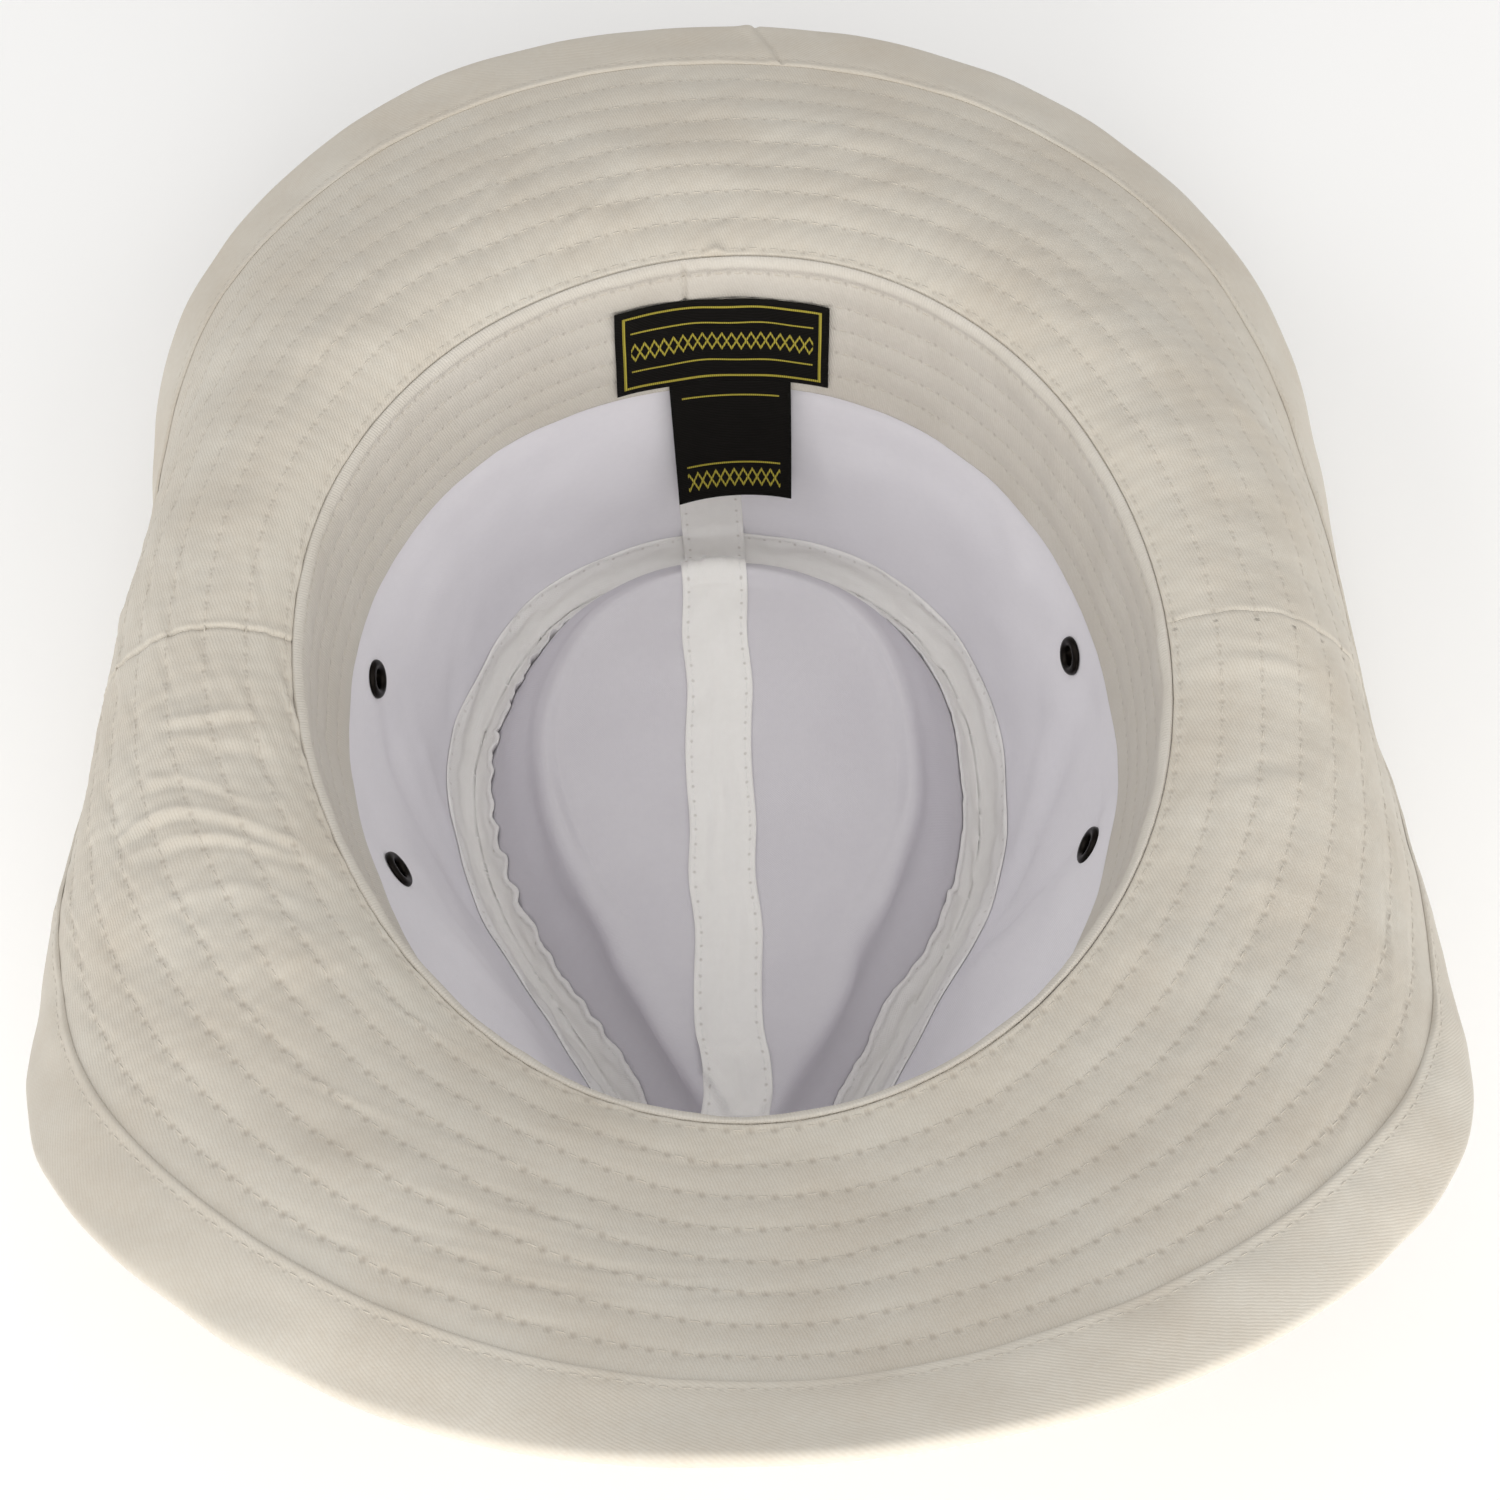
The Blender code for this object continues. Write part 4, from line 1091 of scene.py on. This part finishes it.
def make_crown():
    """Each half: a side and a tip of twill, and the same of lining inside them. Both cloths of the side sink
    at the middle seam, and the twill also at the stitch row beside it."""
    for half, side, start in CROWN_HALVES:
        azimuth = side_stations(start)
        grid, lie = side_rows(azimuth)
        flat = cloth_places(grid)
        inward = normals(grid)
        body = grid + inward * lie[..., None]
        at_seam = to_ends(azimuth)
        seam = 0.0006 * bell(at_seam, 0.0008)
        lining = (CROWN_CLOTH / 2 - seam)[..., None]
        seam = seam + 0.00020 * bell(at_seam - SEAM_ROW, 0.0010)
        rough = 0.00008 * ripple(flat[..., 0], flat[..., 1], 0.007, 33)
        cloth = (CROWN_CLOTH / 2 - seam + rough)[..., None]
        make_panel("side", half, side, body, inward, lining, cloth, flat, LINING, clear_of_eyelets(body))
        grid = tip_rows(half_stations(start, start + 180, TIP_STATIONS))
        inward, plan = normals(grid), grid[..., :2]
        body = grid + inward * tip_lie(plan)[..., None]
        # The tip's lining takes the darker lining colour, painted shade for the dent's hollow
        make_panel("tip", half, side, body, inward, CROWN_CLOTH / 2, CROWN_CLOTH / 2, plan, SHADED_TIP_LINING)


def strip_azimuth(centre, offset, depth):
    """Azimuths of places on the side at centre back or front, from their distance across it and their depth.
    Each is found by stepping four times towards the wanted distance from the middle."""
    azimuth = np.full(offset.shape, float(centre))
    turning = np.sign(sin(radians(centre)))
    for _ in range(4):
        missing = offset - wall(azimuth, depth)[..., 0]
        azimuth = azimuth - np.degrees(missing / HEAD_HALF_WIDTH) * turning
    return azimuth


def strip(centre, offset, depth):
    """Places on the side at centre back or front, from their distance across it and their depth."""
    return wall(strip_azimuth(centre, offset, depth), depth)


def crown_threads():
    """Topstitching outside the crown, where the rows of the tapes inside come through: on both sides of the
    ridge, and beside the middle seams."""
    runs = []
    row = wall_foot(FULL_TURN)[1] - TAPE_WIDTH * TAPE_UP_SIDE + TAPE_ROW_INSET
    reach = TAPE_WIDTH * TAPE_ON_TIP - TAPE_ROW_INSET
    side_pair = np.stack([wall(FULL_TURN, row - 2 * ASIDE), wall(FULL_TURN, row)], 1)
    tip_pair = np.stack([tip(FULL_TURN, reach), tip(FULL_TURN, reach + 2 * ASIDE)], 1)
    for pair, j, lie in ((side_pair, 1, side_lie(FULL_TURN, row)), (tip_pair, 0, tip_lie(tip_pair[:, 0, :2]))):
        inward = normals(pair)[:, j]
        path = pair[:, j] + inward * (lie - CROWN_CLOTH / 2)[:, None]
        runs.append(thread_run(path, -inward, stitch_phase(path, TAPE_PITCH)))
    for middle in (90.0, 270.0):
        depths = np.linspace(0.004, wall_foot(np.array([middle]))[1][0] - 0.002, 60)
        for side in (-1, 1):
            offset, depth = np.meshgrid(np.array([0.0, ASIDE]) + side * SEAM_ROW, depths, indexing="ij")
            grid, inward = facing_in(strip(middle, offset, depth))
            path = grid[0] - inward[0] * CROWN_CLOTH / 2
            runs.append(thread_run(path, -inward[0], stitch_phase(path, TAPE_PITCH, False)))
    threads("stitches_crown_outside", runs, PUTTY_THREAD)


def facing_in(grid):
    """A grid and its normals, with its columns in the order that points them into the crown."""
    if (normals(grid)[..., :2] * grid[..., :2]).sum() > 0:
        grid = grid[::-1]
    return grid, normals(grid)


# Sweatband

BAND_STATIONS = 520
# How far above the opening the band's top edge lies, and how far outwards it rolls there
BAND_TOP = -0.0008
BAND_ROLL = 0.00065


def band_sway(azimuth):
    """How much lower the sweatband's free edge hangs: gently wavy between the right eyelets, and higher at
    the left back."""
    kinks = 0.0010 * bell(between_angles(azimuth, 6), 5.0) - 0.0008 * bell(between_angles(azimuth, -4), 5.0)
    slow = 0.0003 * wave(np.sin(np.radians(azimuth)), 0.8, 54)
    return kinks + slow - 0.0024 * bell(between_angles(azimuth, 126), 28.0)


def make_sweatband():
    """A band round the inside, row-stitched, whose rolled top edge meets the brim's root, with a seam at the
    back. Its relief is slow swells, gathers between the rows, the rows, the roll at its top, the seam and the
    lump of thread."""
    azimuth = close_stations(BAND_STATIONS, BAND_SEAM - 1.2, BAND_SEAM + 1.2)
    stops = spaced([BAND_TOP, 0.0014, BAND_HEIGHT - 0.002, BAND_HEIGHT], [7, 24, 4])
    depths = with_rows(stops, BAND_STITCH_ROWS, [0.0006, 0.0014])
    depth = depths + band_sway(azimuth)[:, None] * fade(depths, BAND_HEIGHT - 0.010, BAND_HEIGHT)
    grid = np.stack([wall(azimuth, np.maximum(column, WALL_TOP)) for column in depth.T], 1)
    grid[..., 2] = -depth
    inward = normals(grid, closed=True)
    line = head_line(np.append(azimuth, 360.0))
    arc = arc_length(line)[:, None]
    phases = stitch_phase(line, STITCH_PITCH)[:, None] + BAND_ROW_LAG * np.arange(len(BAND_STITCH_ROWS))
    gap = abs(depths[:, None] - BAND_STITCH_ROWS).min(1)
    gathers = ripple(arc[:-1], depths * 0.25, 0.0080, 53) * (bell(depths - 0.012, 0.010) + 0.5)
    relief = 0.00016 * ripple(arc[:-1], depths, 0.026, 51) + 0.00006 * gathers - 0.00020 * bell(gap, 0.0014)
    relief = relief + 0.00045 * bell(depths - 0.0004, 0.0010) - 0.00030 * bell(depths - 0.0024, 0.0006)
    to_seam = way_round(azimuth, BAND_SEAM)
    relief = relief - 0.0005 * bell(to_seam, 0.0006) + 0.0002 * bell(abs(to_seam) - 0.0020, 0.0014)
    to_lump = way_round(azimuth, LUMP_AZIMUTH)
    relief = relief + 0.0006 * bell(to_lump, 0.0018) * bell(depths - 0.0004, 0.0014)
    start = CROWN_CLOTH / 2 + TOUCH + (CLEARANCE - TOUCH) * fade(depths, 0.0, 0.006)
    start = start - BAND_ROLL * (1 - fade(depths, BAND_TOP, WALL_TOP))
    full = round_edge(depths, HEM_RADIUS)
    front, back = cloth_faces(grid, inward, start + BAND_CLOTH / 2, BAND_CLOTH, full, relief)
    maps = {"cloth": paired(arc, depths), "stitch": stitch_map(depths, BAND_STITCH_ROWS, phases)}
    shell("sweatband_cloth", front, back, BAND_TWILL, ["sweatband"], closed=True, maps=maps)
    runs = []
    for row, phase in zip(BAND_STITCH_ROWS, phases.T):
        j = nearest(depths, row)
        runs.append(thread_run(front[:, j], inward[:, j], phase, FINE_THREAD, ROW_SUNK))
    threads("stitches_sweatband", runs, PUTTY_THREAD)


# Tapes

TAPE_STAND = CROWN_CLOTH / 2 + TOUCH + TAPE_CLOTH / 2
TAPE_STATIONS = 600
# How far the centre tapes rise over the ring tape, on the side and on the tip, how far the tip tape's edges
# may hang below its highest point, and the least cosine of its slant that its thickness is worked out with
RISE_ON_SIDE = 0.0011
RISE_ON_TIP = 0.0009
TAPE_SAG = 0.0012
LEAST_COSINE = 0.6


def tape_relief(middle, to_row, height):
    """Relief of a tape: a bell to each side of its middle, where the seam allowances under it push it up, and
    a valley along each stitch row."""
    return height * (bell(middle - 0.0016, 0.0011) + bell(middle + 0.0020, 0.0014)) - 0.00018 * bell(to_row, 0.0009)


def make_ring_tape():
    """The tape over the ridge's seam, partly up the side and partly in on the tip. Its inner edge is eased
    round the tighter curve, so it runs in and out, and flutters and creases beyond the stitch row. Gives the
    runs of its threads. A row more to each side is worked out for the normals at its edges."""
    azimuth = np.arange(TAPE_STATIONS) * 360 / TAPE_STATIONS
    crest = crest_line(np.append(azimuth, 360.0))
    arc = arc_length(crest)
    u = arc[:-1]
    back = 0.5 + 0.5 * np.sin(np.radians(azimuth))
    loose = 0.25 + 0.75 * bell(between_angles(azimuth, 150), 70)
    eased = 1 + 0.14 * back + 0.075 * loose * wave(u, 0.0060, 61) + 0.05 * wave(u, 0.028, 62)
    up_side = TAPE_WIDTH * TAPE_UP_SIDE * (1 + 0.04 * wave(u, 0.03, 66))
    foot_depth = wall_foot(azimuth)[1]
    depths = [foot_depth - up_side * share for share in (1.12, *np.linspace(1, 0.12, 8))]
    angles = (0, 18, 36, 54, 72, 84)
    on_side = [wall(azimuth, depth) for depth in depths] + [ridge(azimuth, angle) for angle in angles]
    on_tip = [tip(azimuth, TAPE_WIDTH * TAPE_ON_TIP * share * eased) for share in (*np.linspace(0.14, 1, 14), 1.10)]
    grid = np.stack(on_side + on_tip, 1)
    lie = [side_lie(azimuth, depth) for depth in depths] + [np.zeros_like(azimuth)] * len(angles)
    lie = np.stack(lie + [tip_lie(row[:, :2]) for row in on_tip], 1)
    grid, inward, lie = (each[:, 1:-1] for each in (grid, normals(grid, closed=True), lie))
    across = np.pad(np.cumsum(np.linalg.norm(np.diff(grid, axis=1), axis=-1), 1), ((0, 0), (1, 0)))
    to_edge = across[:, -1:] - across
    to_row = np.minimum(abs(across - TAPE_ROW_INSET), abs(to_edge - TAPE_ROW_INSET))
    u, back = u[:, None], back[:, None]
    wrinkle = 0.00016 * ripple(u, across * 1.9, 0.0085, 63) + 0.00020 * ripple(u * 0.35, across, 0.0046, 67)
    hem = 0.00045 * bell(to_edge - 0.0006, 0.0010) - 0.00040 * bell(to_edge - 0.0023, 0.0006) * (0.4 + 0.6 * back)
    flutter = 0.00065 * (loose[:, None] * np.maximum(wave(u, 0.0055, 64), 0)) * bell(to_edge, 0.0015)
    relief = tape_relief(across - across[:, -1:] / 2, to_row, 0.00016) + wrinkle + hem
    full = round_edge(np.linspace(0, 1, grid.shape[1]), 0.05)
    front, under = cloth_faces(grid, inward, TAPE_STAND + lie + flutter, TAPE_CLOTH, full, relief)
    phase = stitch_phase(crest, TAPE_PITCH)
    maps = {"cloth": paired(arc[:, None], round_again(across)), "stitch": paired(phase[:, None], round_again(to_row))}
    shell("tape_ring_cloth", front, under, TAPE, ["tape_ring"], closed=True, maps=maps)
    picks = [nearest(each.mean(0), TAPE_ROW_INSET) for each in (across, to_edge)]
    return [thread_run(front[:, j], inward[:, j], phase, FINE_THREAD, TAPE_ROW_SUNK) for j in picks]


def narrow_tape(name, grid, inward, across, run, stand, height, wrinkle):
    """A straight tape on a grid that runs across it and then along it: its shell, and the runs of its
    threads. run is the length along it, and height how far its middle is pushed up."""
    to_row = np.minimum(abs(across - TAPE_ROW_INSET), abs(TAPE_WIDTH - across - TAPE_ROW_INSET))
    full = round_edge(across, SELVEDGE_RADIUS)[:, None]
    relief = tape_relief(across - TAPE_WIDTH / 2, to_row, height)[:, None] + wrinkle
    front, under = cloth_faces(grid, inward, stand, TAPE_CLOTH, full, relief)
    phase = run / TAPE_PITCH
    maps = {"cloth": paired(across[:, None], run), "stitch": paired(phase, to_row[:, None])}
    shell(name + "_cloth", front, under, TAPE, [name], maps=maps)
    picks = [nearest(across, place) for place in (TAPE_ROW_INSET, TAPE_WIDTH - TAPE_ROW_INSET)]
    return [thread_run(front[k], inward[k], phase, FINE_THREAD, TAPE_ROW_SUNK) for k in picks]


def make_side_tape(name, centre, shift, across):
    """The tape over a middle seam of the side, down to the ring tape. The one at the back goes on over the
    ring tape to the tip. Gives the runs of its threads."""
    foot_depth = wall_foot(np.array([centre]))[1][0]
    run = spaced([BAND_HEIGHT - 0.003, foot_depth - 0.0003], [74])
    offset, depth = np.meshgrid(across - TAPE_WIDTH / 2 + shift, run, indexing="ij")
    azimuth = strip_azimuth(centre, offset + 0.0003 * wave(depth, 0.02, 74), depth)
    grid = wall(azimuth, depth)
    if name == "tape_side_back":
        over = [ridge(azimuth[:, -1], angle) for angle in (8, 20, 34, 48, 62, 76, 88)]
        over += [tip(azimuth[:, -1], reach) for reach in np.linspace(0.0006, TAPE_WIDTH * TAPE_ON_TIP * 1.12, 12)]
        grid = np.concatenate([grid, np.stack(over, 1)], 1)
        run = run[0] + arc_length(grid[len(across) // 2])
    grid, inward = facing_in(grid)
    ring_top = foot_depth - TAPE_WIDTH * TAPE_UP_SIDE
    stand = TAPE_STAND + RISE_ON_SIDE * fade(run, ring_top - 0.0024, ring_top)
    u = across[:, None]
    wrinkle = 0.00012 * ripple(u, run * 0.5, 0.0055, 75) + 0.00008 * ripple(u, run, 0.004, 76)
    return narrow_tape(name, grid, inward, across, run, stand, 0.00020, wrinkle)


def make_tip_tape(across):
    """The tape along the tip, where the seam allowances under it push its middle up. It stands off along one
    mean direction at each station, so that it stays a flat band over the folds of the lining. Gives the runs
    of its threads."""
    ring_width = TAPE_WIDTH * TAPE_ON_TIP
    ring_edge = TIP_BACK_REACH - ring_width
    y = np.linspace(ring_edge + ring_width * 0.55, DENT_SLOPE_RUN * 1.4 - TIP_FRONT_REACH, 170)
    wander = TIP_TAPE_SHIFT + 0.0004 * wave(y, 0.028, 72) + 0.0008 * fade(y, 0.0, 0.07)
    u = across[:, None]
    plan = paired((u - TAPE_WIDTH / 2)[::-1] + wander, y)
    height = tip_height(plan) + tip_lie(plan)
    grid = raised(plan, np.maximum(height, height.max(0) - TAPE_SAG))
    stand = TAPE_STAND + RISE_ON_TIP * fade(y, ring_edge - ring_width * 0.35, ring_edge)
    wrinkle = 0.00028 * ripple(u, y * 0.45, 0.0060, 73) + 0.00008 * ripple(u, y, 0.0042, 77)
    own = normals(grid)
    inward = np.broadcast_to(unit(own.mean(0)), grid.shape)
    stand = stand / np.maximum((own * inward).sum(-1), LEAST_COSINE)
    return narrow_tape("tape_tip_center", grid, inward, across, y[0] - y, stand, 0.00058, wrinkle)


def make_tapes():
    """All the tapes, and the threads of their rows as one piece."""
    runs = make_ring_tape()
    rows = np.array([TAPE_ROW_INSET, TAPE_WIDTH - TAPE_ROW_INSET])
    across = with_rows(spaced([0.0, TAPE_WIDTH], [18]), rows, [0.0005, 0.0010])
    runs += make_side_tape("tape_side_back", 90.0, -0.0010, across)
    runs += make_side_tape("tape_side_front", 270.0, 0.0, across)
    runs += make_tip_tape(across)
    threads("stitches_tapes", runs, WHITE_THREAD)


# Labels

LABEL_GAP = 0.0002
ON_BAND = CROWN_CLOTH / 2 + CLEARANCE + BAND_CLOTH + LABEL_GAP


def make_label(name, finish, thickness, size, counts, edge, course, lift):
    """A label on the sweatband. Its points are shares s of its width from its middle and t of its height from
    its top. course gives where the label lies: its distance from centre back and its depth, and lift how far
    it stands off the band."""
    width, height = size
    s, t = np.linspace(-0.5, 0.5, counts[0]), np.linspace(0, 1, counts[1])
    full = round_edge(s * width, edge)[:, None] * round_edge(t * height, edge)
    s, t = np.meshgrid(s, t, indexing="ij")
    offset, depth = course(s, t)
    grid, inward = facing_in(strip(90.0, offset + s * width, depth + t * height))
    if grid[0, 0, 0] > grid[-1, 0, 0]:
        s = s[::-1]
    front, back = cloth_faces(grid, inward, ON_BAND + thickness / 2 + lift(s, t), thickness, full)
    maps = {"cloth": paired(s * width, (0.5 - t) * height)}
    return shell(f"{name}_cloth", front, back, finish, [name], maps=maps)


def main_course(s, t):
    """Where the main label lies: its top left corner is a little higher."""
    return LABEL_SHIFT, LABEL_TOP - LABEL_SKEW * (0.5 - s) * (1 - t)


def main_lift(s, t):
    """Slow swells of the main label."""
    return 0.00018 * ripple(s * LABEL_WIDTH, t * LABEL_HEIGHT, 0.016, 81)


def care_course(s, t):
    """Where the care label lies: its top is under the main label's lower edge, and its foot goes askew."""
    return CARE_SHIFT + 0.0010 * t, LABEL_TOP + LABEL_HEIGHT - 0.0004 - 0.0016 * (0.5 + s) * t


def care_lift(s, t):
    """The care label stands off more and more towards its foot, and its sides curl up there."""
    return CARE_STAND_OFF * t**1.3 + 0.0009 * (2 * s) ** 2 * t


def make_labels():
    """The main label sewn on the band, and the care label that hangs from its lower edge."""
    main, care = (LABEL_WIDTH, LABEL_HEIGHT), (CARE_WIDTH, CARE_HEIGHT)
    make_label("label_main", MAIN_LABEL, LABEL_CLOTH, main, (73, 41), FOLD_RADIUS, main_course, main_lift)
    hung = make_label("label_care", CARE_LABEL, CARE_CLOTH, care, (45, 51), SELVEDGE_RADIUS, care_course, care_lift)


# Eyelets

EYELET_SIDES = 48


def make_eyelets():
    """Turned rings through the side: a section of radius and height is carried round each eyelet's axis, over
    the flange inside the crown, down the barrel, over the flange outside it, and back up the bore."""
    bore, rim, seat = EYELET_BORE / 2, EYELET_RADIUS, CROWN_CLOTH / 2 + TOUCH
    over = np.linspace(0, pi, 13)
    width = (rim - bore) / 2 * (1 - np.cos(over))
    inside = np.stack([bore + width, seat + FLANGE_INSIDE * np.sin(over) ** 0.8], -1)
    barrel = np.array([(bore + BARREL_WALL, seat - 0.0001), (bore + BARREL_WALL, 0.0001 - seat)])
    outside = np.stack([rim - width, -seat - FLANGE_OUTSIDE * np.sin(over) ** 0.8], -1)
    section = np.concatenate([inside, barrel, outside])
    angle = 2 * pi * np.arange(EYELET_SIDES)[:, None, None] / EYELET_SIDES
    i, j = np.meshgrid(np.arange(EYELET_SIDES) * len(section), np.arange(len(section)), indexing="ij")
    n, m = np.roll(i, -1, axis=0), np.roll(j, -1, axis=1)
    faces = np.stack([i + j, n + j, n + m, i + m], -1).reshape(-1, 4)
    for name, azimuth in EYELETS.items():
        place, inward = eyelet_axis(azimuth)
        side = unit(np.cross(inward, (0, 0, 1.0)))
        ring = np.cos(angle) * side + np.sin(angle) * np.cross(side, inward)
        points = place + ring * section[:, 0, None] + inward * section[:, 1, None]
        into_scene(f"eyelet_{name}_ring", laid(points.reshape(-1, 3)), faces, BRASS, [f"eyelet_{name}"])


make_brim()
brim_threads()
make_binding()
make_crown()
crown_threads()
make_sweatband()
make_tapes()
make_labels()
make_eyelets()

# Floor, light and camera

MIDDLE = (0, 0, 0.08)
FLOOR_REACH = 3.0


def placed(name, data):
    """An object that isn't a piece of the hat: the floor, a lamp or the camera."""
    obj = bpy.data.objects.new(name, data)
    bpy.context.scene.collection.objects.link(obj)
    return obj


def floor():
    """A wide pale floor of matt white board."""
    mesh = bpy.data.meshes.new("floor")
    corners = [(x * FLOOR_REACH, y * FLOOR_REACH, 0) for x, y in ((-1, -1), (1, -1), (1, 1), (-1, 1))]
    mesh.from_pydata(corners, [], [(0, 1, 2, 3)])
    material = blank("matt_white_board", Roughness=0.9, Specular_IOR_Level=0.2, Base_Color=colour("#F8F8F8"))[0]
    mesh.materials.append(material)
    placed("floor", mesh)


def softbox(name, place, side, power, tint):
    """A soft square lamp that faces the middle of the hat."""
    light = bpy.data.lights.new(name, "AREA")
    light.shape = "RECTANGLE"
    light.size = light.size_y = side
    light.energy = power
    light.color = colour(tint)[:3]
    obj = placed(name, light)
    obj.location = place
    obj.rotation_euler = (Vector(place) - Vector(MIDDLE)).to_track_quat("Z", "Y").to_euler()


def room(tint, strength):
    """Even light from all round."""
    world = bpy.data.worlds.new("soft room")
    world.use_nodes = True
    ground = world.node_tree.nodes["Background"]
    ground.inputs["Color"].default_value = colour(tint)
    ground.inputs["Strength"].default_value = strength
    bpy.context.scene.world = world


CAMERA_PLACE = (-0.0147616, -0.3834151, 0.5152149)
CAMERA_DOWN = 55.0
CAMERA_HEADING = 2.6619139
CAMERA_FOCUS = 3446.239
PHOTO_SIDE = 1500


def camera():
    """The photograph's view, given in the hat's own frame and turned with it: the place, how far it looks
    down and how far it is turned from straight ahead, in degrees. CAMERA_FOCUS is the distance of the picture
    plane in the photograph's pixels."""
    down, heading = radians(CAMERA_DOWN), radians(CAMERA_HEADING)
    ahead = np.array([cos(down) * sin(heading), cos(down) * cos(heading), -sin(down)])
    right = np.array([cos(heading), -sin(heading), 0.0])
    x, back = (Vector(turned(way) - turned(np.zeros(3))).normalized() for way in (right, -ahead))
    data = bpy.data.cameras.new("camera")
    data.sensor_width = 36.0
    data.lens = CAMERA_FOCUS / PHOTO_SIDE * data.sensor_width
    data.clip_start = 0.05
    obj = placed("camera", data)
    basis = Matrix((x, back.cross(x), back)).transposed().to_4x4()
    obj.matrix_world = Matrix.Translation(Vector(turned(np.array(CAMERA_PLACE)) - SHIFT)) @ basis
    bpy.context.scene.camera = obj


# A row for each soft lamp: name, place, side, power in watts and tint.
LAMPS = (
    ("front", (0.0, -1.6, 0.55), 0.9, 15.0, "#FFFDF9"),
    ("front left", (-1.2, -1.0, 0.5), 0.9, 5.0, "#FFFCF6"),
    ("front right", (1.2, -1.0, 0.5), 0.9, 7.5, "#FFFCF6"),
    ("front high", (0.0, -1.1, 1.4), 0.9, 4.3, "#FFFDF9"),
    ("left", (-1.2, 0.1, 1.1), 0.9, 4.3, "#FFFFFF"),
    ("right", (1.1, -0.2, 1.2), 0.9, 2.4, "#FFFFFF"),
    ("top", (0.0, 0.1, 1.7), 1.0, 3.0, "#FFFFFF"),
)
floor()
room("#F4F3F2", 0.55)
for lamp in LAMPS:
    softbox(*lamp)
camera()
bpy.context.scene.view_settings.view_transform = "Standard"
